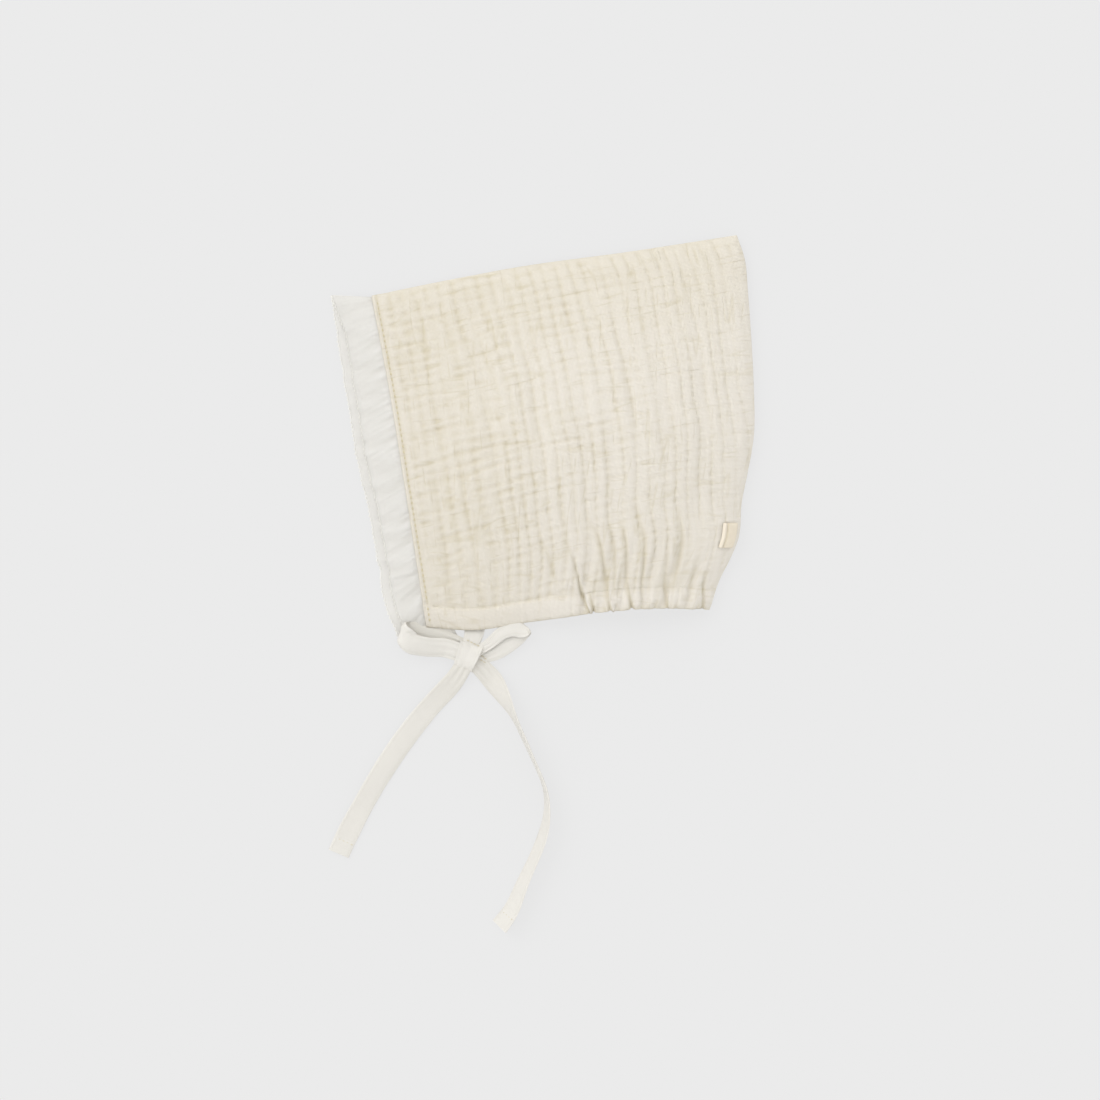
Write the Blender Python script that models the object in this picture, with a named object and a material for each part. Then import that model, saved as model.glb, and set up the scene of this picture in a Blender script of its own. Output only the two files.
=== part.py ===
"""Baby bonnet of crinkled double gauze, with a white frill round the face and tape ties in a bow.

The hood is one cloth folded along the crown and sewn up the back. It is laid on its right side on a
table at Z = 0, the left half on top, with the face opening towards -X and the neck opening
towards -Y. Metres, +Z up, the origin on the table under the middle of the whole bonnet.
"""

import math
from typing import NamedTuple

import bmesh
import bpy
import numpy as np

MM = 0.001
GAP = 0.3 * MM  # between pieces that are sewn together

# The hood laid flat: along the crown fold, and down from it.
RIDGE_LENGTH = 170 * MM
FACE_DEPTH = 153.5 * MM
BACK_DEPTH = 167 * MM
NECK_RUN = 130 * MM
RIDGE_RISE = 2 * MM
FACE_BOW = 1.2 * MM
NECK_SWAY = 2.7 * MM
BACK_BULGE = 14.3 * MM
LEAN = math.radians(9.4)

# The hood's height: two layers that meet at the crown fold and the back seam and part between.
CLOTH = 1.8 * MM
EDGE_HEIGHT = 5.4 * MM
EDGE_ROUND = 9 * MM
PUFF = 19 * MM

# Grooves and gathers of the gauze.
RIB_DEPTH = 1.1 * MM
RIB_WIDTH = 4 * MM
PLEAT_DEPTH = 1.7 * MM
PLEAT_WIDTH = 2.6 * MM

CASING_HEIGHT = 9.5 * MM
CASING_CLOTH = 2 * MM
CASING_PROUD = 0.4 * MM

FRILL_WIDTH = 20 * MM
FRILL_CLOTH = 1.2 * MM
FRILL_PEEK = 3.6 * MM
FRILL_WAVE = 1.5 * MM
FRILL_GATHERS = 13

LABEL_LENGTH = 11 * MM
LABEL_WIDTH = 6.2 * MM
LABEL_CLOTH = 1 * MM

# The ties are flat tape, and the bow's knot lies off the front corner of the neck.
TAPE_WIDTH = 10 * MM
TAPE_CLOTH = 1.1 * MM
KNOT_ASIDE = 19 * MM
KNOT_BELOW = 14 * MM
KNOT_WIDTH = 11 * MM
KNOT_LENGTH = 13 * MM
KNOT_HEIGHT = 7 * MM
LEFT_LOOP = 30 * MM
RIGHT_LOOP = 27 * MM
LOOP_HEIGHT = 5 * MM
LEFT_TAIL = 103 * MM
RIGHT_TAIL = 134 * MM

# Steps of the meshes: along the crown, down a layer, round the frill, along a tape.
ALONG_STEPS = 46
DOWN_STEPS = 22
FRILL_STEPS = 56
TAPE_STEPS = 22


class Station(NamedTuple):
    """A point of a smooth line: how far along it lies, and its share of the named size."""

    at: float
    share: float


class Groove(NamedTuple):
    """A groove down the gauze: its places along the crown fold and the neck, its span and depth."""

    top: float
    foot: float
    starts: float
    ends: float
    depth: float


class Turn(NamedTuple):
    """A tape's lie at a share of its length: heading and roll in degrees."""

    at: float
    heading: float
    roll: float


class Bend(NamedTuple):
    """A point of a bow loop: shares of its run beyond the knot, of the tape's width and of its height.

    aside and width are both shares of the tape's width.
    """

    ahead: float
    aside: float
    up: float
    width: float


RIDGE_SHAPE = (Station(0, 0), Station(0.25, 0.75), Station(0.4, 1), Station(0.7, 0.3), Station(1, 0))
FACE_SHAPE = (Station(0, 0), Station(0.3, 1), Station(0.6, 0.8), Station(1, 0))
NECK_SHAPE = (
    Station(0, 0),
    Station(0.17, -1),
    Station(0.34, -0.3),
    Station(0.52, 0.33),
    Station(0.66, 0.78),
    Station(0.85, 0.67),
    Station(1, 0),
)
BACK_SHAPE = (
    Station(0, 0),
    Station(0.06, 0.3),
    Station(0.14, 0.47),
    Station(0.25, 0.66),
    Station(0.4, 0.89),
    Station(0.54, 1),
    Station(0.62, 0.91),
    Station(0.71, 0.77),
    Station(0.81, 0.74),
    Station(0.87, 0.5),
    Station(0.92, 0.25),
    Station(1, 0),
)
PUFF_ALONG = (
    Station(0, 0.5),
    Station(0.22, 0.85),
    Station(0.5, 1),
    Station(0.78, 0.72),
    Station(1, 0.1),
)
PUFF_DOWN = (
    Station(0, 0.1),
    Station(0.2, 0.62),
    Station(0.5, 1),
    Station(0.78, 0.9),
    Station(1, 0.7),
)
PUFF_NECK = (
    Station(0, -0.06),
    Station(0.2, -0.02),
    Station(0.38, 0.02),
    Station(0.53, 0.22),
    Station(0.7, 0.42),
    Station(0.88, 0.32),
    Station(1, 0.1),
)
RIBS = (
    Groove(0.12, 0.1, 0.2, 0.95, 0.5),
    Groove(0.26, 0.26, 0, 0.9, 0.7),
    Groove(0.38, 0.41, 0.15, 0.75, 1),
    Groove(0.5, 0.55, 0, 0.95, 0.6),
    Groove(0.56, 0.63, 0, 1, 1),
    Groove(0.63, 0.7, 0, 0.8, 0.7),
    Groove(0.71, 0.79, 0.05, 0.7, 0.8),
    Groove(0.84, 0.87, 0, 0.9, 1),
    Groove(0.93, 0.95, 0.1, 0.6, 0.5),
)
PLEATS = (
    Groove(0.51, 0.55, 0.72, 1.2, 1),
    Groove(0.58, 0.61, 0.78, 1.2, 0.7),
    Groove(0.66, 0.68, 0.75, 1.2, 1),
    Groove(0.74, 0.76, 0.7, 1.2, 0.8),
    Groove(0.82, 0.83, 0.76, 1.2, 1),
    Groove(0.91, 0.91, 0.8, 1.2, 0.7),
    Groove(0.97, 0.97, 0.85, 1.2, 0.8),
)
FRILL_SHAPE = (
    Station(0, 0.9),
    Station(0.25, 0.98),
    Station(0.47, 1),
    Station(0.6, 0.93),
    Station(0.82, 0.85),
    Station(0.9, 0.86),
    Station(1, 0.68),
)
LEFT_TAIL_LIE = (
    Turn(0, -114, 0),
    Turn(0.12, -132, 4),
    Turn(0.3, -129, 0),
    Turn(0.5, -124, -4),
    Turn(0.7, -120, 0),
    Turn(0.85, -117.5, 3),
    Turn(1, -113, 0),
)
RIGHT_TAIL_LIE = (
    Turn(0, -40, 0),
    Turn(0.08, -50, -12),
    Turn(0.15, -59, -48),
    Turn(0.22, -64, -70),
    Turn(0.35, -66, -80),
    Turn(0.46, -68.5, -82),
    Turn(0.56, -90, -76),
    Turn(0.66, -107, -64),
    Turn(0.78, -115, -60),
    Turn(0.9, -113, -50),
    Turn(0.96, -126, -42),
    Turn(1, -129, -36),
)
LEFT_LOOP_HEADING = 162
LEFT_LOOP_LIE = (
    Bend(0, -0.2, 0.5, 0.5),
    Bend(0.2, -0.36, 0.85, 0.75),
    Bend(0.45, -0.48, 1.3, 0.95),
    Bend(0.75, -0.4, 1.35, 1),
    Bend(0.95, -0.15, 1.4, 1),
    Bend(1, 0, 1.75, 1),
    Bend(0.95, 0.1, 2.1, 1),
    Bend(0.7, 0.06, 2.1, 1),
    Bend(0.4, 0, 1.75, 0.85),
    Bend(0.15, 0, 1.3, 0.65),
    Bend(0, 0, 1, 0.5),
)
RIGHT_LOOP_HEADING = 27
RIGHT_LOOP_LIE = (
    Bend(0, -0.1, 0.42, 0.5),
    Bend(0.2, -0.2, 0.4, 0.8),
    Bend(0.45, -0.25, 0.36, 1),
    Bend(0.75, -0.32, 0.5, 1),
    Bend(0.95, -0.38, 1.15, 1),
    Bend(1, -0.3, 1.55, 1),
    Bend(0.93, 0, 1.85, 1),
    Bend(0.7, 0.18, 1.85, 0.9),
    Bend(0.4, 0.15, 1.45, 0.75),
    Bend(0.15, 0, 1.15, 0.6),
    Bend(0, 0, 0.95, 0.5),
)


def smooth(table, t, column="share"):
    """Value at t on the smooth line through a table's points."""
    at = np.array([row.at for row in table])
    value = np.array([getattr(row, column) for row in table])
    slope = np.gradient(value, at)
    i = np.clip(np.searchsorted(at, t, side="right") - 1, 0, len(at) - 2)
    run = at[i + 1] - at[i]
    s = (t - at[i]) / run
    eased = value[i] + (value[i + 1] - value[i]) * s * s * (3 - 2 * s)
    return eased + run * (slope[i] * s * (1 - s) ** 2 - slope[i + 1] * s * s * (1 - s))


def edge(start, end, bulge, table, t):
    """Points at shares t of the line from start to end, pushed off it by the bulge's shares."""
    start, end = np.array(start), np.array(end)
    chord = end - start
    off = np.array((chord[1], -chord[0])) / np.linalg.norm(chord)
    t = np.asarray(t)[..., None]
    return start + chord * t + off * bulge * smooth(table, t)


def flat_place(u, v):
    """Place in the hood's own plane, along the crown fold and down from it.

    The four edges are blended: u runs from the face edge to the back seam, v from the crown to the neck.
    """
    front_top, back_top = (0, 0), (RIDGE_LENGTH, 0)
    front_foot, back_foot = (0, FACE_DEPTH), (NECK_RUN, BACK_DEPTH)
    ridge = edge(front_top, back_top, RIDGE_RISE, RIDGE_SHAPE, u)
    neck = edge(front_foot, back_foot, NECK_SWAY, NECK_SHAPE, u)
    face = edge(front_top, front_foot, FACE_BOW, FACE_SHAPE, v)
    back = edge(back_top, back_foot, BACK_BULGE, BACK_SHAPE, v)
    u, v = u[..., None], v[..., None]
    corners = (1 - u) * (1 - v) * np.array(front_top) + u * (1 - v) * np.array(back_top)
    corners = corners + (1 - u) * v * np.array(front_foot) + u * v * np.array(back_foot)
    return (1 - v) * ridge + v * neck + (1 - u) * face + u * back - corners


def on_table(flat):
    """The hood's own plane turned by its lean: X across the table, Y towards the crown."""
    along, down = flat[..., 0], flat[..., 1]
    x = along * math.cos(LEAN) + down * math.sin(LEAN)
    y = along * math.sin(LEAN) - down * math.cos(LEAN)
    return np.stack((x, y), axis=-1)


def depth_at(u):
    """Length of the cloth down one layer, from the crown fold to the neck edge."""
    return np.linalg.norm(flat_place(u, np.ones_like(u)) - flat_place(u, np.zeros_like(u)), axis=-1)


def width_at(v):
    """Length of the cloth from the face edge to the back seam."""
    return np.linalg.norm(flat_place(np.ones_like(v), v) - flat_place(np.zeros_like(v), v), axis=-1)


def closing(distance):
    """0 on a closed edge, rising with the round of an ellipse to 1 where the fold ends."""
    left = np.clip(1 - distance / EDGE_ROUND, 0, 1)
    return np.sqrt(1 - left * left)


def grooves(table, u, v, width):
    """Sum of a table's grooves, each a soft furrow that fades in and out along its length."""
    total = np.zeros(np.broadcast(u, v).shape)
    for row in table:
        centre = row.top + (row.foot - row.top) * v
        across = (u - centre) * RIDGE_LENGTH / width
        span = np.clip((v - row.starts) / (row.ends - row.starts), 0, 1)
        total = total + row.depth * np.exp(-across * across) * np.sin(math.pi * span)
    return total


def rise(u, v):
    """Height of the upper layer over the closed edges: a soft dome that runs out into the neck's line.

    The neck's front lies flat, drawn down by its tie, and its gathered back stands open.
    """
    towards_neck = v**4
    dome = smooth(PUFF_ALONG, u) * smooth(PUFF_DOWN, v) * (1 - towards_neck)
    puff = PUFF * (dome + smooth(PUFF_NECK, u) * towards_neck)
    ribs = RIB_DEPTH * grooves(RIBS, u, v, RIB_WIDTH)
    return puff - ribs - PLEAT_DEPTH * grooves(PLEATS, u, v, PLEAT_WIDTH)


def hood_surface(u, v, upper, proud=0.0):
    """Outer face of the hood at shares u and v, on the upper layer or the one on the table."""
    closed = closing(v * depth_at(u)) * closing((1 - u) * width_at(v))
    middle = EDGE_HEIGHT / 2
    top = middle + (EDGE_HEIGHT + rise(u, v) + proud - middle) * closed
    bottom = middle * (1 - closed)
    place = on_table(flat_place(u, v))
    return np.concatenate((place, np.where(upper, top, bottom)[..., None]), axis=-1)


def sheet_object(name, points, material):
    """Mesh object from a grid of points, with its doubled points joined."""
    rows, columns = points.shape[:2]
    index = np.arange(rows * columns).reshape(rows, columns)
    corners = (index[:-1, :-1], index[1:, :-1], index[1:, 1:], index[:-1, 1:])
    faces = np.stack(corners, axis=-1).reshape(-1, 4)
    mesh = bpy.data.meshes.new(name)
    mesh.from_pydata(points.reshape(-1, 3).tolist(), [], faces.tolist())
    return finished(name, mesh, material)


def finished(name, mesh, material):
    """Object of a mesh, merged, shaded smooth and given its material."""
    shape = bmesh.new()
    shape.from_mesh(mesh)
    bmesh.ops.remove_doubles(shape, verts=shape.verts, dist=0.001 * MM)
    bmesh.ops.dissolve_degenerate(shape, edges=shape.edges, dist=0.001 * MM)
    shape.to_mesh(mesh)
    shape.free()
    mesh.shade_smooth()
    mesh.materials.append(material)
    thing = bpy.data.objects.new(name, mesh)
    bpy.context.scene.collection.objects.link(thing)
    return thing


def thicken(thing, thickness, offset):
    """Gives a sheet its wall."""
    wall = thing.modifiers.new("wall", "SOLIDIFY")
    wall.thickness = thickness
    wall.offset = offset


def cloth_material(name, colour, roughness):
    """Matt cloth of one colour."""
    material = bpy.data.materials.new(name)
    material.use_nodes = True
    shader = material.node_tree.nodes["Principled BSDF"]
    shader.inputs["Base Color"].default_value = (*colour, 1)
    shader.inputs["Roughness"].default_value = roughness
    shader.inputs["Metallic"].default_value = 0
    return material


def wrap_grid(down):
    """Shares u, v and side over both layers, from the upper one's foot over the crown to the lower one's.

    down holds each column's share of the layer, from crown to foot. Both are closer together at the folds.
    """
    along = np.sin(np.linspace(0, math.pi / 2, ALONG_STEPS + 1))
    down = np.concatenate((down[::-1], down[1:]))
    upper = np.arange(len(down)) < len(down) // 2
    u, v = np.meshgrid(along, down, indexing="ij")
    return u, v, np.broadcast_to(upper, u.shape)


def make_hood(gauze):
    """The gauze: one cloth over the crown, joined up the back, open at the face and the neck."""
    down = 1 - np.cos(np.linspace(0, math.pi / 2, DOWN_STEPS + 1))
    u, v, upper = wrap_grid(down)
    v = v * (1 - (CASING_HEIGHT + GAP) / depth_at(u))
    hood = sheet_object("hood_gauze", hood_surface(u, v, upper), gauze)
    thicken(hood, CLOTH, -1)


def make_casing(gauze):
    """The neck casing: a band below each layer, joined round the back end of the neck edge."""
    u, share = np.meshgrid(
        np.sin(np.linspace(0, math.pi / 2, ALONG_STEPS + 1)), np.linspace(0, 1, 3), indexing="ij"
    )
    v = 1 - (1 - share) * CASING_HEIGHT / depth_at(u)
    upper = hood_surface(u, v, True, CASING_PROUD)[:, ::-1]
    lower = hood_surface(u, v, False)[::-1, ::-1]
    casing = sheet_object("neck_casing", np.concatenate((upper, lower[1:])), gauze)
    thicken(casing, CASING_CLOTH, -1)


def gathers(v):
    """Uneven waves of the gathered frill, between 0 and 1."""
    turn = 2 * math.pi * FRILL_GATHERS * v
    wave = 0.6 * np.sin(turn) + 0.4 * np.sin(1.63 * turn + 1.1)
    return 0.5 + 0.5 * wave


def frill_surface(share, out):
    """Middle of the frill's cloth: share runs from -1 over the crown fold at 0 to 1, out from the seam.

    The upper half starts at the hood's upper wall and comes down to rest on the lower half, which
    starts at the lower wall and lies on the table. Both are waved more and more towards the free edge.
    """
    v = np.abs(share)
    upper = share < 0
    seam = hood_surface(np.zeros_like(v), v, upper)
    width = FRILL_WIDTH * smooth(FRILL_SHAPE, v) - np.where(upper, FRILL_PEEK * np.clip(8 * v, 0, 1), 0)
    fan = np.radians(5 - 12 * v) + LEAN * (2 * v - 1) / 2
    reach = GAP + width * out
    x = seam[..., 0] - reach * np.cos(fan)
    y = seam[..., 1] + reach * np.sin(fan)
    closed = closing(v * FACE_DEPTH)
    middle = EDGE_HEIGHT / 2
    slack = closed * (1 - 0.65 * np.clip((v - 0.85) / 0.15, 0, 1))
    wave = FRILL_WAVE * gathers(v) * slack * out
    rest = 2 * FRILL_CLOTH + GAP + 0.6 * FRILL_WAVE
    drop = out * out * (3 - 2 * out)
    top = (seam[..., 2] - CLOTH / 2) * (1 - drop) + rest * drop
    top = middle + (top + wave - middle) * closed
    bottom = FRILL_CLOTH / 2 + 0.5 * wave + (CLOTH - FRILL_CLOTH) / 2 * (1 - out)
    bottom = middle + (bottom - middle) * closed
    return np.stack((x, y, np.where(upper, top, bottom)), axis=-1)


def make_frill(cotton):
    """The gathered frill round the face, folded with the hood at the crown."""
    down = 1 - np.cos(np.linspace(0, math.pi / 2, FRILL_STEPS // 4 + 1))
    even = np.linspace(0, 1, FRILL_STEPS + 1)
    fine = even[even > 0.15]
    share = np.concatenate((down[down < 0.15], fine))
    share = np.concatenate((-share[::-1], share[1:]))
    share, out = np.meshgrid(share, np.linspace(0, 1, 5), indexing="ij")
    frill = sheet_object("face_frill", frill_surface(share, out), cotton)
    thicken(frill, FRILL_CLOTH, 0)


def make_label(ribbon):
    """The bare label, sewn on the upper layer beside the back seam above the gathers."""
    v = 0.8 + np.linspace(-0.5, 0.5, 5) * LABEL_LENGTH / BACK_DEPTH
    across = 0.985 - np.linspace(1, 0, 7) * LABEL_WIDTH / width_at(np.array(0.8))
    u, v = np.meshgrid(across, v, indexing="ij")
    skin = hood_surface(u, v, True)
    along, down = np.gradient(skin, axis=0), np.gradient(skin, axis=1)
    outward = -np.cross(along, down)
    outward = outward / np.linalg.norm(outward, axis=-1, keepdims=True)
    label = sheet_object("back_label", skin + outward * (GAP + LABEL_CLOTH / 2), ribbon)
    thicken(label, LABEL_CLOTH, 0)


def tape_object(name, line, width, roll, material, side=None):
    """Flat tape along a line of points, rolled about it from lying level, or from a given side."""
    ahead = np.gradient(line, axis=0)
    ahead = ahead / np.linalg.norm(ahead, axis=1, keepdims=True)
    across = np.cross(ahead, (0, 0, 1)) if side is None else side
    across = across - ahead * (ahead * across).sum(axis=1, keepdims=True)
    across = across / np.linalg.norm(across, axis=1, keepdims=True)
    flat = np.cross(across, ahead)
    roll = np.radians(roll)[:, None]
    wide = (across * np.cos(roll) + flat * np.sin(roll)) * width[:, None] / 2
    thick = np.cross(wide / np.linalg.norm(wide, axis=1, keepdims=True), ahead) * TAPE_CLOTH / 2
    rings = np.stack((line + wide + thick, line + wide - thick, line - wide - thick, line - wide + thick))
    rings = rings.transpose(1, 0, 2)
    index = np.arange(rings.shape[0] * 4).reshape(-1, 4)
    turned = np.roll(index, -1, axis=1)
    sides = np.stack((index[:-1], index[1:], turned[1:], turned[:-1]), axis=-1).reshape(-1, 4)
    mesh = bpy.data.meshes.new(name)
    ends = [index[0].tolist(), index[-1, ::-1].tolist()]
    mesh.from_pydata(rings.reshape(-1, 3).tolist(), [], sides.tolist() + ends)
    tape = finished(name, mesh, material)
    shape = bmesh.new()
    shape.from_mesh(mesh)
    bmesh.ops.recalc_face_normals(shape, faces=shape.faces)
    shape.to_mesh(mesh)
    shape.free()
    return tape


def knot_place():
    """Middle of the knot on the table, off the front corner of the neck edge."""
    corner = on_table(flat_place(np.array(0.0), np.array(1.0)))
    return corner + np.array((KNOT_ASIDE, -KNOT_BELOW))


def knot_radius(heading, height):
    """Radius of the knot towards a heading at a height: an oval cushion with steep sides."""
    middle = KNOT_HEIGHT / 2
    share = np.clip(np.abs(height - middle) / middle, 0, 1)
    across, along = np.cos(heading) / KNOT_WIDTH, np.sin(heading) / KNOT_LENGTH
    return (1 - share**4) ** 0.25 / (2 * np.hypot(across, along))


def make_knot(tape):
    """The bow's knot, standing on the table."""
    turn = np.linspace(0, 2 * math.pi, 19)[:, None]
    height = KNOT_HEIGHT / 2 * (1 + np.sin(np.linspace(-math.pi / 2, math.pi / 2, 9)))
    radius = knot_radius(turn, height)
    place = knot_place()
    x = place[0] + radius * np.cos(turn)
    y = place[1] + radius * np.sin(turn)
    sheet_object("bow_knot", np.stack((x, y, height + 0 * x), axis=-1), tape)


def make_tail(name, length, lie, tape):
    """A free tie end: it leaves the knot at the first heading and lies on the table on its low edge."""
    share = np.linspace(0, 1, TAPE_STEPS + 1)
    heading = np.radians(smooth(lie, share, "heading"))
    roll = smooth(lie, share, "roll")
    start = knot_radius(heading[0], TAPE_CLOTH) + GAP
    steps = np.stack((np.cos(heading), np.sin(heading)), axis=-1)
    middles = (steps[1:] + steps[:-1]) / 2 * length / TAPE_STEPS
    place = knot_place() + start * steps[0] + np.concatenate((np.zeros((1, 2)), np.cumsum(middles, axis=0)))
    width = TAPE_WIDTH * (1 - 0.55 * np.clip(1 - share / 0.12, 0, 1))
    low = width / 2 * np.abs(np.sin(np.radians(roll))) + TAPE_CLOTH / 2 * np.cos(np.radians(roll))
    tape_object(name, np.concatenate((place, low[:, None]), axis=-1), width, roll, tape)


def make_loop(name, length, heading, lie, tape):
    """A bow loop: out from the knot, over at its tip and back above itself."""
    at = np.linspace(0, 1, len(lie))
    table = {
        key: [Station(a, getattr(row, key)) for a, row in zip(at, lie)] for key in Bend._fields
    }
    share = np.linspace(0, 1, 2 * TAPE_STEPS + 1)
    ahead, aside, up, width = (smooth(table[key], share) for key in Bend._fields)
    heading = math.radians(heading)
    root = knot_radius(heading, KNOT_HEIGHT / 2) + GAP
    ahead = root + (length - root) * ahead
    x = ahead * math.cos(heading) - TAPE_WIDTH * aside * math.sin(heading)
    y = ahead * math.sin(heading) + TAPE_WIDTH * aside * math.cos(heading)
    place = knot_place()
    line = np.stack((place[0] + x, place[1] + y, LOOP_HEIGHT * up), axis=-1)
    side = np.array((math.sin(heading), -math.cos(heading), 0))
    tape_object(name, line, TAPE_WIDTH * width, np.zeros(len(share)), tape, side)


def make_tie(name, u, upper, heading, tape):
    """A tie's first stretch: square off the casing's edge, down to the table and square into the knot."""
    share = np.array((u - 0.01, u, u + 0.01))
    neck_edge = hood_surface(share, np.ones(3), upper)
    along = neck_edge[2, :2] - neck_edge[0, :2]
    off = np.array((along[1], -along[0], 0)) / np.linalg.norm(along)
    start = neck_edge[1] + GAP * off
    start[2] += -CASING_CLOTH / 2 if upper else CASING_CLOTH / 2
    heading = math.radians(heading)
    towards = np.array((math.cos(heading), math.sin(heading), 0))
    middle = np.append(knot_place(), TAPE_CLOTH / 2)
    end = middle + towards * (knot_radius(heading, TAPE_CLOTH) + GAP)
    bow = np.linalg.norm(start - end) / 3
    t = np.linspace(0, 1, 11)[:, None]
    line = start * (1 - t) ** 3 + 3 * (start + off * bow) * t * (1 - t) ** 2
    line = line + 3 * (end + towards * bow) * t * t * (1 - t) + end * t**3
    width = TAPE_WIDTH * (0.8 - 0.4 * t[:, 0])
    tape_object(name, line, width, np.zeros(len(line)), tape)


def centre_on_table():
    """Moves the whole bonnet so that the origin is on the table under its middle."""
    bpy.context.view_layer.update()
    graph = bpy.context.evaluated_depsgraph_get()
    things = list(bpy.context.scene.objects)
    corners = np.concatenate([np.array(thing.evaluated_get(graph).bound_box) for thing in things])
    middle = (corners.min(axis=0) + corners.max(axis=0)) / 2
    for thing in things:
        thing.location = (-middle[0], -middle[1], -corners.min(axis=0)[2])


def main():
    for thing in list(bpy.data.objects):
        bpy.data.objects.remove(thing)
    gauze = cloth_material("cream double gauze", (0.79, 0.74, 0.65), 0.95)
    cotton = cloth_material("white cotton lawn", (0.81, 0.79, 0.75), 0.9)
    tape = cloth_material("ivory cotton tape", (0.85, 0.83, 0.78), 0.9)
    ribbon = cloth_material("beige woven label", (0.76, 0.69, 0.57), 0.9)
    make_hood(gauze)
    make_casing(gauze)
    make_frill(cotton)
    make_label(ribbon)
    make_knot(tape)
    make_tie("near_tie", 0.06, True, 143, tape)
    make_tie("far_tie", 0.17, False, 74, tape)
    make_loop("bow_loop_left", LEFT_LOOP, LEFT_LOOP_HEADING, LEFT_LOOP_LIE, tape)
    make_loop("bow_loop_right", RIGHT_LOOP, RIGHT_LOOP_HEADING, RIGHT_LOOP_LIE, tape)
    make_tail("tie_tail_left", LEFT_TAIL, LEFT_TAIL_LIE, tape)
    make_tail("tie_tail_right", RIGHT_TAIL, RIGHT_TAIL_LIE, tape)
    centre_on_table()


main()
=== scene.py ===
"""Dresses the baby bonnet: crinkled double gauze, a white frill with a picot edge and tape ties in a bow.

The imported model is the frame. Every cloth solid of it is replaced by a finer piece that follows the
same surface: the hood's gauze with its ribs and puckers, the gathered neck casing, the frill, the bare
label, and the folded tape of the ties. Sizes are in metres, the table is at Z = 0.
"""

from __future__ import annotations

import logging
import math
from dataclasses import dataclass, field
from enum import Enum
from typing import NamedTuple

import bmesh
import bpy
import numpy as np
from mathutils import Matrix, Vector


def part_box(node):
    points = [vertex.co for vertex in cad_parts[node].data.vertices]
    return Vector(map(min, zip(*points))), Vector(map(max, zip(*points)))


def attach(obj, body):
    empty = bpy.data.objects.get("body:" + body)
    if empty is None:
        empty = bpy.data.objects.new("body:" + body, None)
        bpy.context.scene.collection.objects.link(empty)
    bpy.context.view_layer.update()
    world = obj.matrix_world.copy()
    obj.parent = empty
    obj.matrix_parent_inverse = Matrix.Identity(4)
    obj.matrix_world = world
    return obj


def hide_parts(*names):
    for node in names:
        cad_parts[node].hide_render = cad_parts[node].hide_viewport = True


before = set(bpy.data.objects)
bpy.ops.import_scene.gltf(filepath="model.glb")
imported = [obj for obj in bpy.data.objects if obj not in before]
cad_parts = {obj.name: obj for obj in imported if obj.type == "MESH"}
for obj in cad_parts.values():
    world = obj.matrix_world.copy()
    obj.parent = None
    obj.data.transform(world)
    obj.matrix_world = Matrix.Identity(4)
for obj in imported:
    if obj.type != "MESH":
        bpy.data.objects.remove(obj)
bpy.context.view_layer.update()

MM = 0.001
SAME_POINT = 0.002 * MM
ON_TABLE = 0.02 * MM
UP = np.array((0.0, 0.0, 1.0))
Array = np.ndarray
log = logging.getLogger("bonnet")


class Layer(Enum):
    """The hood's two layers as it lies on its side."""

    UPPER = "on top"
    LOWER = "on the table"


class Station(NamedTuple):
    """A point of a smooth line: how far along it lies, and its share of the named size."""

    at: float
    share: float


class Groove(NamedTuple):
    """A groove: its place at either end, the span that it runs over, its depth, and its width in mm."""

    top: float
    foot: float
    starts: float
    ends: float
    depth: float
    width: float


class Turn(NamedTuple):
    """A tape's lie at a share of its length: heading and roll in degrees."""

    at: float
    heading: float
    roll: float


class Bend(NamedTuple):
    """A point of a bow loop: shares of its run, the tape's width and its height, and its roll in degrees."""

    ahead: float
    aside: float
    up: float
    width: float
    roll: float = 0.0


def tabled(row: type[NamedTuple], *values: tuple[float, ...]) -> tuple[NamedTuple, ...]:
    """A table's rows, each made of its values in order."""
    return tuple(row(*each) for each in values)


def smooth(table: tuple[NamedTuple, ...], t: Array, column: str = "share") -> Array:
    """Value at t on the smooth line through a table's points.

    Each span is a cubic between two rows, with slopes taken from the rows on either side.

    Args:
        table: rows with an ``at`` and the named column.
        t: places, in the measure of ``at``.
        column: the column to read.

    Returns:
        The values at t.
    """
    at = np.array([row.at for row in table])
    value = np.array([getattr(row, column) for row in table])
    slope = np.gradient(value, at)
    i = np.clip(np.searchsorted(at, t, side="right") - 1, 0, len(at) - 2)
    run = at[i + 1] - at[i]
    s = (t - at[i]) / run
    eased = value[i] + (value[i + 1] - value[i]) * s * s * (3 - 2 * s)
    return eased + run * (slope[i] * s * (1 - s) ** 2 - slope[i + 1] * s * s * (1 - s))


def ramp(t: Array, start: float, end: float) -> Array:
    """0 before start, 1 after end, and 3s² - 2s³ between them."""
    s = np.clip((t - start) / (end - start), 0, 1)
    return s * s * (3 - 2 * s)


def bump(t: Array, middle: float, width: float) -> Array:
    """A soft hill of height 1: e to the power of minus the square of the distance in widths."""
    return np.exp(-(((t - middle) / width) ** 2))


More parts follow.
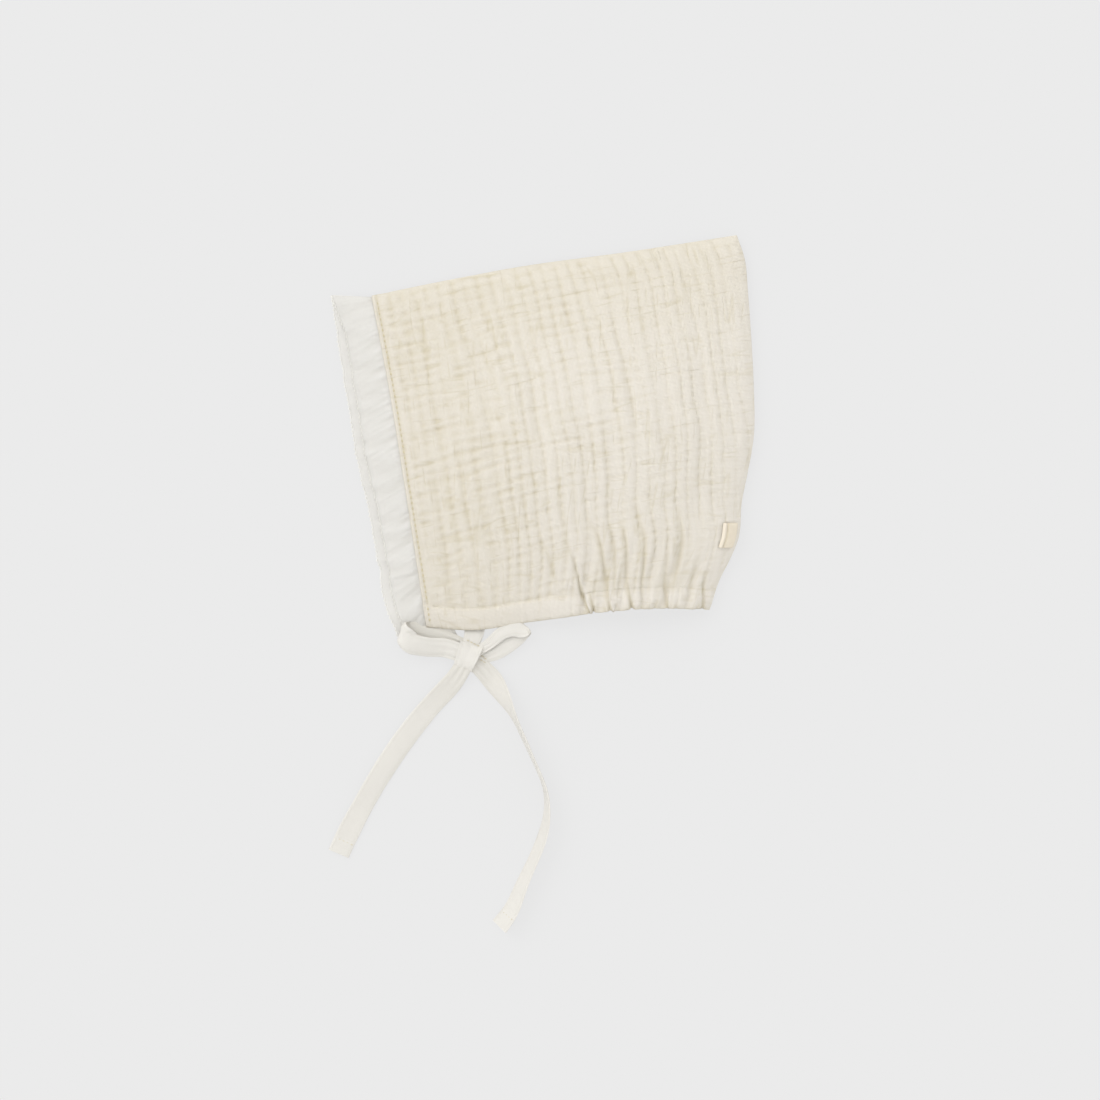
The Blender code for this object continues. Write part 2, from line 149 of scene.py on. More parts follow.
def noise(x: Array, y: Array, seed: int) -> Array:
    """Smooth random values from -1 to 1, one for each corner of a lattice with unit cells.

    Between corners the four values are blended by 3s² - 2s³ along x and along y.

    Args:
        x: places along the lattice's first way.
        y: places along its second way.
        seed: which lattice.

    Returns:
        The values, in the shape of x and y together.
    """
    size = 97
    lattice = np.random.default_rng(seed).uniform(-1, 1, (size, size))
    x, y = np.broadcast_arrays(x, y)
    i, j = np.floor(x).astype(int), np.floor(y).astype(int)
    s, t = ramp(x - i, 0, 1), ramp(y - j, 0, 1)
    near = lattice[i % size, j % size] * (1 - s) + lattice[(i + 1) % size, j % size] * s
    far = lattice[i % size, (j + 1) % size] * (1 - s) + lattice[(i + 1) % size, (j + 1) % size] * s
    return near * (1 - t) + far * t


def unit(vectors: Array) -> Array:
    """The same directions with length 1."""
    return vectors / np.maximum(np.linalg.norm(vectors, axis=-1, keepdims=True), 1e-12)


def square_to(vectors: Array, ahead: Array) -> Array:
    """Unit vectors of what is left of vectors when their part along the unit vectors ahead is taken off."""
    return unit(vectors - ahead * (ahead * vectors).sum(axis=-1, keepdims=True))


def outward(points: Array) -> Array:
    """Unit normals of a grid: rows crossed with columns, from the differences of neighbours."""
    return unit(np.cross(np.gradient(points, axis=0), np.gradient(points, axis=1)))


def facing(way: Array, layer: Layer) -> Array:
    """The same directions, turned about where needed: up on the upper layer and down on the lower one."""
    side = 1 if layer is Layer.UPPER else -1
    return np.where(way[..., 2:] * side < 0, -way, way)


def run_along(line: Array) -> Array:
    """Length along a line to each of its points: the steps between them, added up."""
    return np.concatenate(((0.0,), np.cumsum(np.linalg.norm(np.diff(line, axis=0), axis=1))))


def read_along(at: Array, run: Array, values: Array) -> Array:
    """A line's points or directions at given lengths along it, straight between its own."""
    return np.stack([np.interp(at, run, values[:, k]) for k in range(3)], axis=-1)


def numbered(grid: Array) -> Array:
    """Vertex numbers in the shape of a grid of values."""
    return np.arange(grid.size).reshape(grid.shape)


def grid_faces(index: Array) -> list[list[int]]:
    """Four-cornered faces of grids of vertex numbers, outwards where rows x columns points outwards."""
    corners = (index[..., :-1, :-1], index[..., 1:, :-1], index[..., 1:, 1:], index[..., :-1, 1:])
    return np.stack(corners, axis=-1).reshape(-1, 4).tolist()


def tube(centre: Array, radius: Array, aside: Array, lift: Array, sides: int) -> tuple[Array, Array]:
    """Rings round lines: the radius times the turn's cosine to the side and its sine upwards.

    Args:
        centre: the lines' points.
        radius: the radius at each point along a line.
        aside: unit vectors to the side.
        lift: unit vectors upwards.
        sides: how many sides a ring has.

    Returns:
        The rings' points, and the turn of each point of a ring.
    """
    around = np.linspace(0, 2 * math.pi, sides + 1)[:, None]
    ring = np.cos(around) * aside[..., None, :] + np.sin(around) * lift[..., None, :]
    return centre[..., None, :] + radius[:, None, None] * ring, around[:, 0]


def painted_fold_shade(relief: Array) -> Array:
    """Share of painted shade by how deep in a fold the cloth lies: 0 where it stands 0.35 mm proud, 1 at
    1.35 mm below the form.
    """
    return np.clip((0.35 * MM - relief) / (1.7 * MM), 0, 1)


def calmed(distance: Array) -> Array:
    """Share of the creases left near a closed edge: 0.15 on it, and all of them 2.5 mm away."""
    return 0.15 + 0.85 * ramp(distance, 0, 2.5 * MM)


def placed(name: str, data: bpy.types.ID) -> bpy.types.Object:
    """A new object that holds the data, put into the scene."""
    thing = bpy.data.objects.new(name, data)
    bpy.context.scene.collection.objects.link(thing)
    return thing


def linear(code: str) -> tuple[float, float, float, float]:
    """An sRGB hex colour as linear RGBA: below 0.04045 a straight line, above it a power of 2.4."""
    values = (int(code[i : i + 2], 16) / 255 for i in (1, 3, 5))
    red, green, blue = (c / 12.92 if c <= 0.04045 else ((c + 0.055) / 1.055) ** 2.4 for c in values)
    return (red, green, blue, 1.0)


class Plan:
    """A material's node tree while it is being drawn."""

    def __init__(self, name: str) -> None:
        """An empty material of that name with a Principled shader and its output.

        Args:
            name: what the material is.
        """
        self.material = bpy.data.materials.new(name)
        self.material.use_nodes = True
        self.tree = self.material.node_tree
        self.shader = self.tree.nodes["Principled BSDF"]

    def add(
        self,
        kind: str,
        settings: dict[str, object] | None = None,
        links: dict[str | int, bpy.types.NodeSocket] | None = None,
        **values: object,
    ) -> bpy.types.Node:
        """Adds a node.

        Args:
            kind: the node's type, without its ShaderNode prefix.
            settings: values of its input sockets, by name or number.
            links: sockets that its inputs are joined to, by name or number.
            values: the node's own properties.

        Returns:
            The node.
        """
        node = self.tree.nodes.new("ShaderNode" + kind)
        for name, value in values.items():
            setattr(node, name, value)
        for name, value in (settings or {}).items():
            node.inputs[name].default_value = value
        for name, socket in (links or {}).items():
            self.tree.links.new(socket, node.inputs[name])
        return node

    def join(self, name: str, socket: bpy.types.NodeSocket) -> None:
        """Joins a socket to one of the shader's inputs."""
        self.tree.links.new(socket, self.shader.inputs[name])

    def even(self, values: dict[str, object]) -> None:
        """Sets those of the shader's inputs that are the same all over."""
        for name, value in values.items():
            self.shader.inputs[name].default_value = value


@dataclass(frozen=True)
class Cloth:
    """A matt cotton cloth: its colour on the crests and the painted shade of its folds, the threads that it
    is woven of, and how it takes the light.
    """

    name: str
    crest: str
    # The folds' colour is painted shade, laid on by the piece's fold map.
    fold: str
    thread: float = 0.5 * MM
    relief: float = 0.12 * MM
    crease: float = 1.6 * MM
    crease_relief: float = 0.1 * MM
    lines: float = 0.0
    cloudiness: float = 0.04
    roughness: float = 0.9
    sheen: float = 0.15

    def weave(self, plan: Plan) -> bpy.types.NodeSocket:
        """Height of a plain weave: warp and weft are ribs that pass over each other by turns.

        The ribs are sines across the cloth's own map, which is in metres, and each square of the
        check shows one of the two.

        Args:
            plan: the material that the nodes go into.

        Returns:
            The socket with the height, between 0 and 1.
        """
        cloth = plan.add("UVMap", uv_map="cloth").outputs["UV"]
        wander = plan.add("TexNoise", {"Scale": 0.4 / self.thread, "Detail": 1.0}, {"Vector": cloth})
        off = plan.add("VectorMath", {1: (0.5,) * 3}, {0: wander.outputs["Color"]}, operation="SUBTRACT")
        loose = plan.add(
            "VectorMath",
            {1: (0.5 * self.thread,) * 3},
            {0: off.outputs[0], 2: cloth},
            operation="MULTIPLY_ADD",
        ).outputs[0]
        split = plan.add("SeparateXYZ", links={0: loose})
        ribs = []
        for side in ("X", "Y"):
            turns = {1: math.pi / self.thread}
            turn = plan.add("Math", turns, {0: split.outputs[side]}, operation="MULTIPLY")
            wave = plan.add("Math", links={0: turn.outputs[0]}, operation="SINE")
            ribs.append(plan.add("Math", links={0: wave.outputs[0]}, operation="ABSOLUTE").outputs[0])
        check = plan.add("TexChecker", {"Scale": 1 / self.thread}, {"Vector": loose})
        taken = {0: check.outputs["Fac"], 2: ribs[0], 3: ribs[1]}
        return plan.add("Mix", links=taken, data_type="FLOAT").outputs[0]

    def creases(self, plan: Plan, cloth: bpy.types.NodeSocket) -> bpy.types.NodeSocket:
        """Thin broken creases across and along the grain, 1 on each and 0 off it.

        A noise is stretched far along one way of the cloth, and a crease runs where it passes its middle
        value, wherever a second, rounder noise is high. The stronger of the two ways is taken.

        Args:
            plan: the material that the nodes go into.
            cloth: the socket with the place on the cloth.

        Returns:
            The socket with the share, between 0 and 1.
        """
        ways = []
        for long, short, turn, seed in ((60 * MM, 6 * MM, 4, 0.0), (6.5 * MM, 70 * MM, -4, 5.0)):
            size = {"Scale": (long, short, 1), "Rotation": (0, 0, math.radians(turn))}
            place = plan.add("Mapping", size, {"Vector": cloth}, vector_type="TEXTURE")
            waves = plan.add("TexNoise", {"Scale": 1.0, "Detail": 0.6}, {"Vector": place.outputs[0]})
            off = plan.add("Math", {1: 0.5}, {0: waves.outputs["Fac"]}, operation="SUBTRACT")
            near = plan.add("Math", links={0: off.outputs[0]}, operation="ABSOLUTE")
            line = plan.add(
                "MapRange",
                {"From Min": 0.0, "From Max": 0.035, "To Min": 1.0, "To Max": 0.0},
                {"Value": near.outputs[0]},
                interpolation_type="SMOOTHSTEP",
            )
            moved = plan.add("VectorMath", {1: (seed, seed, 0)}, {0: cloth}, operation="ADD")
            patchy = {"Scale": 1 / (9 * MM), "Detail": 1.0}
            patches = plan.add("TexNoise", patchy, {"Vector": moved.outputs[0]})
            shown = plan.add(
                "MapRange",
                {"From Min": 0.46, "From Max": 0.6, "To Min": 0.0, "To Max": 1.0},
                {"Value": patches.outputs["Fac"]},
            )
            broken = plan.add("Math", links={0: line.outputs[0], 1: shown.outputs[0]}, operation="MULTIPLY")
            ways.append(broken.outputs[0])
        return plan.add("Math", links={0: ways[0], 1: ways[1]}, operation="MAXIMUM").outputs[0]

    def material(self) -> bpy.types.Material:
        """The cloth's material.

        The colour goes from the crests to the painted shade of the folds by the piece's own fold map, with
        soft clouds; the crease lines and the holes of the weave are painted darker as shade too, and the
        height adds fine creases to the weave.

        Returns:
            The material.
        """
        plan = Plan(self.name)
        cloth = plan.add("UVMap", uv_map="cloth").outputs["UV"]
        # The fold map: the share of painted shade at each point.
        folds = plan.add("Attribute", attribute_name="fold").outputs["Fac"]
        clouds = plan.add("TexNoise", {"Scale": 1 / (14 * MM), "Detail": 3.0}, {"Vector": cloth})
        share = plan.add(
            "Math",
            {1: 2 * self.cloudiness},
            {0: clouds.outputs["Fac"], 2: folds},
            operation="MULTIPLY_ADD",
        )
        share = plan.add(
            "Math",
            {1: self.cloudiness},
            {0: share.outputs[0]},
            operation="SUBTRACT",
            use_clamp=True,
        )
        # The thin crease lines are painted shade in the colour, and dents in the height below.
        if self.lines:
            lines = self.creases(plan, cloth)
            share = plan.add(
                "Math",
                {1: 0.45 * self.lines},
                {0: lines, 2: share.outputs[0]},
                operation="MULTIPLY_ADD",
                use_clamp=True,
            )
        # From the crest colour to the painted shade of the folds.
        tones = {6: linear(self.crest), 7: linear(self.fold)}
        tone = plan.add("Mix", tones, {0: share.outputs[0]}, data_type="RGBA")
        weave = self.weave(plan)
        # Painted light and shade of the weave: threads 2 % lighter on top, 10 % darker in the holes between
        # them.
        painted_weave_shading = plan.add("Math", {1: 0.12, 2: 0.9}, {0: weave}, operation="MULTIPLY_ADD")
        shade = plan.add(
            "Mix",
            {0: 1.0},
            {6: tone.outputs[2], 7: painted_weave_shading.outputs[0]},
            data_type="RGBA",
            blend_type="MULTIPLY",
        )
        plan.join("Base Color", shade.outputs[2])
        wrinkled = {"Scale": 1 / self.crease, "Detail": 3.0, "Distortion": 0.6}
        creases = plan.add("TexNoise", wrinkled, {"Vector": cloth})
        raised = {"Strength": 1.0, "Distance": self.crease_relief}
        worn = plan.add("Bump", raised, {"Height": creases.outputs["Fac"]})
        if self.lines:
            worn = plan.add(
                "Bump",
                {"Strength": 1.0, "Distance": 0.12 * MM * self.lines},
                {"Height": lines, "Normal": worn.outputs[0]},
                invert=True,
            )
        raised = {"Strength": 1.0, "Distance": self.relief}
        woven = plan.add("Bump", raised, {"Height": weave, "Normal": worn.outputs[0]})
        plan.join("Normal", woven.outputs[0])
        plan.even({"Roughness": self.roughness, "Metallic": 0.0, "Specular IOR Level": 0.2})
        plan.even({"Sheen Weight": self.sheen, "Sheen Roughness": 0.5})
        return plan.material


@dataclass(frozen=True)
class Thread:
    """Sewing thread of spun polyester: a matt strand with the slant of its twist."""

    name: str
    colour: str
    pitch: float = 0.45 * MM

    def material(self) -> bpy.types.Material:
        """The thread's material, with its twist as bands of painted shade across the piece's own map.

        Returns:
            The material.
        """
        plan = Plan(self.name)
        cloth = plan.add("UVMap", uv_map="cloth").outputs["UV"]
        twist = plan.add(
            "TexWave",
            {"Scale": 0.31 / self.pitch, "Distortion": 0.5},
            {"Vector": cloth},
            bands_direction="DIAGONAL",
        )
        # Painted shade and highlight: from 14 % darker in the twist's grooves to 4 % lighter on its strands.
        tone = plan.add("Math", {1: 0.18, 2: 0.86}, {0: twist.outputs["Fac"]}, operation="MULTIPLY_ADD")
        shade = plan.add(
            "Mix",
            {0: 1.0, 6: linear(self.colour)},
            {7: tone.outputs[0]},
            data_type="RGBA",
            blend_type="MULTIPLY",
        )
        plan.join("Base Color", shade.outputs[2])
        strand = plan.add("Bump", {"Strength": 0.8, "Distance": 0.08 * MM}, {"Height": twist.outputs["Fac"]})
        plan.join("Normal", strand.outputs[0])
        plan.even({"Roughness": 0.7, "Sheen Weight": 0.2})
        return plan.material


@dataclass(frozen=True)
class OpalSheet:
    """The studio's table: an opal acrylic sheet lit from below, which keeps the shadows on it faint."""

    name: str
    colour: str
    glow: float

    def material(self) -> bpy.types.Material:
        """The sheet's material, matt, with a faint tooth.

        Returns:
            The material.
        """
        plan = Plan(self.name)
        place = plan.add("TexCoord").outputs["Object"]
        tooth = plan.add("TexNoise", {"Scale": 900.0, "Detail": 2.0}, {"Vector": place})
        rough = plan.add("Bump", {"Strength": 0.1, "Distance": 0.02 * MM}, {"Height": tooth.outputs["Fac"]})
        plan.join("Normal", rough.outputs[0])
        plan.even({"Base Color": linear(self.colour), "Roughness": 0.95, "Specular IOR Level": 0.1})
        plan.even({"Emission Color": (1, 1, 1, 1), "Emission Strength": self.glow})
        return plan.material


@dataclass(frozen=True)
class Finishes:
    """The materials that the pieces share, each made once.

    Real threads lie about 0.45 mm apart in such gauze and 0.25 to 0.4 mm in the other cloths, and a
    pixel of the photograph is 0.46 mm. So each weave is drawn a little coarser, as it needs to show.
    """

    # Two loose cotton layers, dried without ironing: a soft matt cream with painted shade in its folds and
    # along broken hairlines across and along the grain, and an open weave.
    gauze: bpy.types.Material = field(
        default_factory=Cloth(
            "crinkled cotton double gauze",
            "#eee8dd",
            "#dcd3bc",
            thread=0.6 * MM,
            relief=0.16 * MM,
            lines=0.8,
        ).material
    )
    # Thin close cotton: a cool white that looks smooth, with only faint wrinkles and painted shade in its
    # folds.
    lawn: bpy.types.Material = field(
        default_factory=Cloth(
            "white cotton lawn",
            "#e3e1dc",
            "#d2cfc7",
            thread=0.4 * MM,
            relief=0.06 * MM,
            crease=2.4 * MM,
        ).material
    )
    # Cotton folded and pressed into a band: an even ivory with wide soft wrinkles, and painted shade in its
    # folds and seam furrow.
    tape: bpy.types.Material = field(
        default_factory=Cloth(
            "ivory folded cotton tape",
            "#e4e1da",
            "#d0ccc0",
            thread=0.45 * MM,
            relief=0.08 * MM,
            crease=3 * MM,
        ).material
    )
    # A close ribbon with more sheen than the rest: warm beige, a painted highlight on its fold's ridge,
    # painted shade beside it.
    label: bpy.types.Material = field(
        default_factory=Cloth(
            "bare woven label ribbon",
            "#f0e6d4",
            "#d6c9ad",
            thread=0.5 * MM,
            relief=0.1 * MM,
            sheen=0.3,
        ).material
    )
    # Twisted thread: small matt strands, banded along their length with the twist's painted shade. Ecru, it
    # shows as dashes on the gauze.
    seam_thread: bpy.types.Material = field(
        default_factory=Thread("ecru spun polyester thread", "#d3c8aa").material
    )
    # The gauze's own cream, hardly to be told from it.
    gauze_thread: bpy.types.Material = field(
        default_factory=Thread("cream spun polyester thread", "#ebe3d3").material
    )
    # White, it gives the frill its bright beaded edge.
    white_thread: bpy.types.Material = field(
        default_factory=Thread("white spun polyester thread", "#efede6").material
    )


@dataclass
class Piece:
    """A finished piece of the bonnet: vertices, faces, the cloth's own map and the share of painted shade in
    its folds.
    """

    name: str
    vertices: Array
    faces: list[list[int]]
    cloth: Array
    fold: Array
    material: bpy.types.Material
    slot: str
    replaces: tuple[str, ...] = ()
    wall: float = 0.0
    outwards: float = -1.0
    sharp: float | None = None

    def build(self) -> bpy.types.Object:
        """Makes the mesh object, rides it on the bonnet and reports it.

        Returns:
            The piece's object.
        """
        mesh = bpy.data.meshes.new(self.name)
        mesh.from_pydata(self.vertices.reshape(-1, 3).tolist(), [], self.faces)
        corner = np.empty(len(mesh.loops), dtype=np.int32)
        mesh.loops.foreach_get("vertex_index", corner)
        chart = mesh.uv_layers.new(name="cloth")
        chart.data.foreach_set("uv", self.cloth.reshape(-1, 2)[corner].astype(np.float32).ravel())
        # The fold map: the share of painted shade at each point.
        folds = mesh.attributes.new("fold", "FLOAT", "POINT")
        folds.data.foreach_set("value", np.clip(self.fold, 0, 1).astype(np.float32).ravel())
        shape = bmesh.new()
        shape.from_mesh(mesh)
        bmesh.ops.remove_doubles(shape, verts=shape.verts, dist=SAME_POINT)
        bmesh.ops.dissolve_degenerate(shape, edges=shape.edges, dist=SAME_POINT)
        shape.faces.ensure_lookup_table()
        outside = shape.faces[0].normal.copy()
        bmesh.ops.recalc_face_normals(shape, faces=shape.faces)
        if self.wall and shape.faces[0].normal.dot(outside) < 0:
            bmesh.ops.reverse_faces(shape, faces=shape.faces)
        shape.to_mesh(mesh)
        shape.free()
        mesh.shade_smooth()
        if self.sharp is not None:
            mesh.set_sharp_from_angle(angle=math.radians(self.sharp))
        mesh.materials.append(self.material)
        thing = placed(self.name, mesh)
        if self.wall:
            solid = thing.modifiers.new("wall", "SOLIDIFY")
            solid.thickness = self.wall
            solid.offset = self.outwards
        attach(thing, "root")
        if self.replaces:
            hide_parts(*self.replaces)
        log.info("%s: %d faces", self.name, len(mesh.polygons))
        return thing


@dataclass(frozen=True)
class Crinkle:
    """The creases that double gauze dries into: long ribs down the grain, beaded by puckers across it."""

    rib_pitch: float = 6.1 * MM
    rib_depth: float = 0.72 * MM
    rib_width: float = 1.1 * MM
    rib_slant: float = 0.085
    rib_turn: float = 0.1
    fine_pitch: float = 2.9 * MM
    fine_depth: float = 0.22 * MM
    fine_width: float = 0.65 * MM
    pucker_pitch: float = 4.3 * MM
    pucker_depth: float = 0.34 * MM
    pucker_width: float = 0.8 * MM
    pucker_slant: float = 0.06

    def furrows(self, count: Array, pitch: float, width: float | Array) -> Array:
        """Depth from 0 to 1 of creases at whole counts: a narrow valley in a broad one.

        The narrow one is a soft hill upside down, the broad one a cosine over the pitch.
        """
        off = (count - np.round(count)) * pitch
        return 0.7 * bump(off, 0, width) + 0.15 + 0.15 * np.cos(2 * np.pi * count)

    def depth(self, across: Array, down: Array, ribbed: Array, puckered: Array) -> Array:
        """Depth of the gauze below its crests.

        Each set of creases counts along one way of the cloth, a little off its grain, pushed off its
        even places by noise. Each crease has its own depth, which comes and goes along it, and the ribs
        are deeper where a pucker crosses them.

        Args:
            across: place across the grain, in metres.
            down: place along the grain, in metres.
            ribbed: strength of the ribs there.
            puckered: strength of the puckers there.

        Returns:
            The depth, in metres.
        """
        ribbing = across - self.rib_slant * down * ramp(across, 0, 50 * MM)
        ribbing = ribbing - self.rib_turn * np.maximum(down - 70 * MM, 0) * ramp(across, 90 * MM, 150 * MM)
        puckering = down + self.pucker_slant * across
        pucker = puckering / self.pucker_pitch + 0.32 * noise(across / (30 * MM), down / (15 * MM), 8)
        pucker = pucker + 0.16 * noise(across / (9 * MM), down / (11 * MM), 9)
        rib = ribbing / self.rib_pitch + 0.36 * noise(across / (16 * MM), down / (60 * MM), 3)
        rib = rib + 0.13 * noise(across / (9 * MM), down / (17 * MM), 4)
        deep = 0.64 + 0.36 * noise(1.7 * np.round(rib), down / (22 * MM), 5)
        beads = 1 + 0.3 * np.cos(2 * np.pi * pucker)
        width = self.rib_width * (1 - 0.5 * ramp(across, 60 * MM, 120 * MM))
        ribs = self.rib_depth * deep * beads * ribbed * self.furrows(rib, self.rib_pitch, width)
        fine = ribbing / self.fine_pitch + 0.35 * noise(across / (8 * MM), down / (18 * MM), 6)
        deep = 0.5 + 0.5 * noise(1.3 * np.round(fine), down / (9 * MM), 7)
        ribs = ribs + self.fine_depth * deep * self.furrows(fine, self.fine_pitch, self.fine_width)
        deep = ramp(noise(across / (7 * MM), 1.9 * np.round(pucker), 10), -0.7, 0.6)
        patch = 0.7 + 0.3 * noise(across / (21 * MM), down / (19 * MM), 13)
        puckers = self.furrows(pucker, self.pucker_pitch, self.pucker_width)
        puckers = self.pucker_depth * deep * patch * puckers
        cross = puckering / self.fine_pitch + 0.35 * noise(across / (16 * MM), down / (8 * MM), 11)
        deep = ramp(noise(across / (7 * MM), 1.3 * np.round(cross), 12), -0.2, 0.8)
        crossed = self.fine_depth * deep * self.furrows(cross, self.fine_pitch, self.fine_width)
        return ribs + puckered * (puckers + crossed)


@dataclass(frozen=True)
class HoodForm:
    """The hood's surface, the same as the CAD's: one cloth folded at the crown and closed up the back.

    u runs from the face edge to the back seam, v from the crown fold to the neck edge.
    """

    gap: float = 0.3 * MM
    ridge_length: float = 170 * MM
    face_depth: float = 153.5 * MM
    back_depth: float = 167 * MM
    neck_run: float = 130 * MM
    ridge_rise: float = 2 * MM
    face_bow: float = 1.2 * MM
    neck_sway: float = 2.7 * MM
    back_bulge: float = 14.3 * MM
    lean: float = math.radians(9.4)
    edge_height: float = 5.4 * MM
    edge_round: float = 9 * MM
    puff: float = 19 * MM
    rib_depth: float = 1.1 * MM
    pleat_depth: float = 1.7 * MM
    casing_height: float = 9.5 * MM
    ridge_shape: tuple[Station, ...] = tabled(
        Station, (0, 0), (0.25, 0.75), (0.4, 1), (0.7, 0.3), (1, 0),
    )
    face_shape: tuple[Station, ...] = tabled(Station, (0, 0), (0.3, 1), (0.6, 0.8), (1, 0))
    neck_shape: tuple[Station, ...] = tabled(
        Station, (0, 0), (0.17, -1), (0.34, -0.3), (0.52, 0.33), (0.66, 0.78), (0.85, 0.67), (1, 0),
    )
    back_shape: tuple[Station, ...] = tabled(
        Station, (0, 0), (0.06, 0.3), (0.14, 0.47), (0.25, 0.66), (0.4, 0.89), (0.54, 1), (0.62, 0.91),
        (0.71, 0.77), (0.81, 0.74), (0.87, 0.5), (0.92, 0.25), (1, 0),
    )
    puff_along: tuple[Station, ...] = tabled(
        Station, (0, 0.5), (0.22, 0.85), (0.5, 1), (0.78, 0.72), (1, 0.1),
    )
    puff_down: tuple[Station, ...] = tabled(
        Station, (0, 0.1), (0.2, 0.62), (0.5, 1), (0.78, 0.9), (1, 0.7),
    )
    puff_neck: tuple[Station, ...] = tabled(
        Station, (0, -0.06), (0.2, -0.02), (0.38, 0.02), (0.53, 0.22), (0.7, 0.42), (0.88, 0.32),
        (1, 0.1),
    )
    ribs: tuple[Groove, ...] = tabled(
        Groove, (0.12, 0.1, 0.2, 0.95, 0.5, 4), (0.26, 0.26, 0, 0.9, 0.7, 4),
        (0.38, 0.41, 0.15, 0.75, 1, 4), (0.5, 0.55, 0, 0.95, 0.6, 4), (0.56, 0.63, 0, 1, 1, 4),
        (0.63, 0.7, 0, 0.8, 0.7, 4), (0.71, 0.79, 0.05, 0.7, 0.8, 4), (0.84, 0.87, 0, 0.9, 1, 4),
        (0.93, 0.95, 0.1, 0.6, 0.5, 4),
    )
    pleats: tuple[Groove, ...] = tabled(
        Groove, (0.51, 0.55, 0.72, 1.2, 1, 2.6), (0.58, 0.61, 0.78, 1.2, 0.7, 2.6),
        (0.66, 0.68, 0.75, 1.2, 1, 2.6), (0.74, 0.76, 0.7, 1.2, 0.8, 2.6),
        (0.82, 0.83, 0.76, 1.2, 1, 2.6), (0.91, 0.91, 0.8, 1.2, 0.7, 2.6),
        (0.97, 0.97, 0.85, 1.2, 0.8, 2.6),
    )

    def edge(
        self,
        start: tuple[float, float],
        end: tuple[float, float],
        bulge: float,
        table: tuple[Station, ...],
        t: Array,
    ) -> Array:
        """Points at shares t of the line from start to end, pushed off it by the bulge's shares.

        Args:
            start: the line's first end, along the crown and down from it.
            end: its last end.
            bulge: how far off the line a share of 1 is.
            table: the bulge's shares.
            t: shares of the line.

        Returns:
            A point for each share.
        """
        first, last = np.array(start), np.array(end)
        chord = last - first
        off = np.array((chord[1], -chord[0])) / np.linalg.norm(chord)
        t = np.asarray(t)[..., None]
        return first + chord * t + off * bulge * smooth(table, t)

    def flat_place(self, u: Array, v: Array) -> Array:
        """Place in the hood's own plane, along the crown and down from it.

        The four edges are blended: each pair across, less the blend of the four corners.

        Args:
            u: shares from the face edge to the back seam.
            v: shares from the crown to the neck edge.

        Returns:
            Points in the hood's own plane, in metres.
        """
        front_top, back_top = (0, 0), (self.ridge_length, 0)
        front_foot, back_foot = (0, self.face_depth), (self.neck_run, self.back_depth)
        ridge = self.edge(front_top, back_top, self.ridge_rise, self.ridge_shape, u)
        neck = self.edge(front_foot, back_foot, self.neck_sway, self.neck_shape, u)
        face = self.edge(front_top, front_foot, self.face_bow, self.face_shape, v)
        back = self.edge(back_top, back_foot, self.back_bulge, self.back_shape, v)
        u, v = u[..., None], v[..., None]
        corners = (1 - u) * (1 - v) * np.array(front_top) + u * (1 - v) * np.array(back_top)
        corners = corners + (1 - u) * v * np.array(front_foot) + u * v * np.array(back_foot)
        return (1 - v) * ridge + v * neck + (1 - u) * face + u * back - corners

    def turned(self, flat: Array) -> Array:
        """The hood's own plane turned by its lean, before it is placed on the table.

        Args:
            flat: points in the hood's own plane.

        Returns:
            The same points, turned.
        """
        along, down = flat[..., 0], flat[..., 1]
        x = along * math.cos(self.lean) + down * math.sin(self.lean)
        y = along * math.sin(self.lean) - down * math.cos(self.lean)
        return np.stack((x, y), axis=-1)

    def shift(self) -> Array:
        """How far the CAD's middle lies from the face end of the crown fold, read off the hood's box.

        Returns:
            How far to move the turned points in x and y.
        """
        t = np.linspace(0, 1, 400)
        crown = self.turned(self.flat_place(t, 0 * t))
        low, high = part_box("hood_gauze")
        return np.array((low[0] - crown[:, 0].min(), high[1] - crown[:, 1].max()))

    def on_table(self, flat: Array) -> Array:
        """The hood's own plane laid on the table in its place."""
        return self.turned(flat) + self.shift()

    def depth_at(self, u: Array) -> Array:
        """Length of the cloth down one layer, from the crown fold to the neck edge."""
        foot, top = self.flat_place(u, np.ones_like(u)), self.flat_place(u, np.zeros_like(u))
        return np.linalg.norm(foot - top, axis=-1)

    def width_at(self, v: Array) -> Array:
        """Length of the cloth from the face edge to the back seam."""
        back, face = self.flat_place(np.ones_like(v), v), self.flat_place(np.zeros_like(v), v)
        return np.linalg.norm(back - face, axis=-1)

    def casing_v(self, u: Array, share: Array) -> Array:
        """Share down the hood at which a share of the casing's height lies, 0 at its seam."""
        return 1 - (1 - share) * self.casing_height / self.depth_at(u)

    def closing(self, distance: Array) -> Array:
        """0 on a closed edge, rising with the round of an ellipse to 1 where the fold ends."""
        left = np.clip(1 - distance / self.edge_round, 0, 1)
        return np.sqrt(1 - left * left)

    def grooves(self, table: tuple[Groove, ...], u: Array, v: Array) -> Array:
        """Sum of a table's grooves: soft hills across, each fading in and out as a half sine along.

        Args:
            table: the grooves.
            u: shares from the face edge to the back seam.
            v: shares from the crown to the neck edge.

        Returns:
            The sums, 0 where the cloth has no groove.
        """
        total = np.zeros(np.broadcast(u, v).shape)
        for row in table:
            centre = row.top + (row.foot - row.top) * v
            across = (u - centre) * self.ridge_length / (row.width * MM)
            span = np.clip((v - row.starts) / (row.ends - row.starts), 0, 1)
            total = total + row.depth * np.exp(-across * across) * np.sin(math.pi * span)
        return total

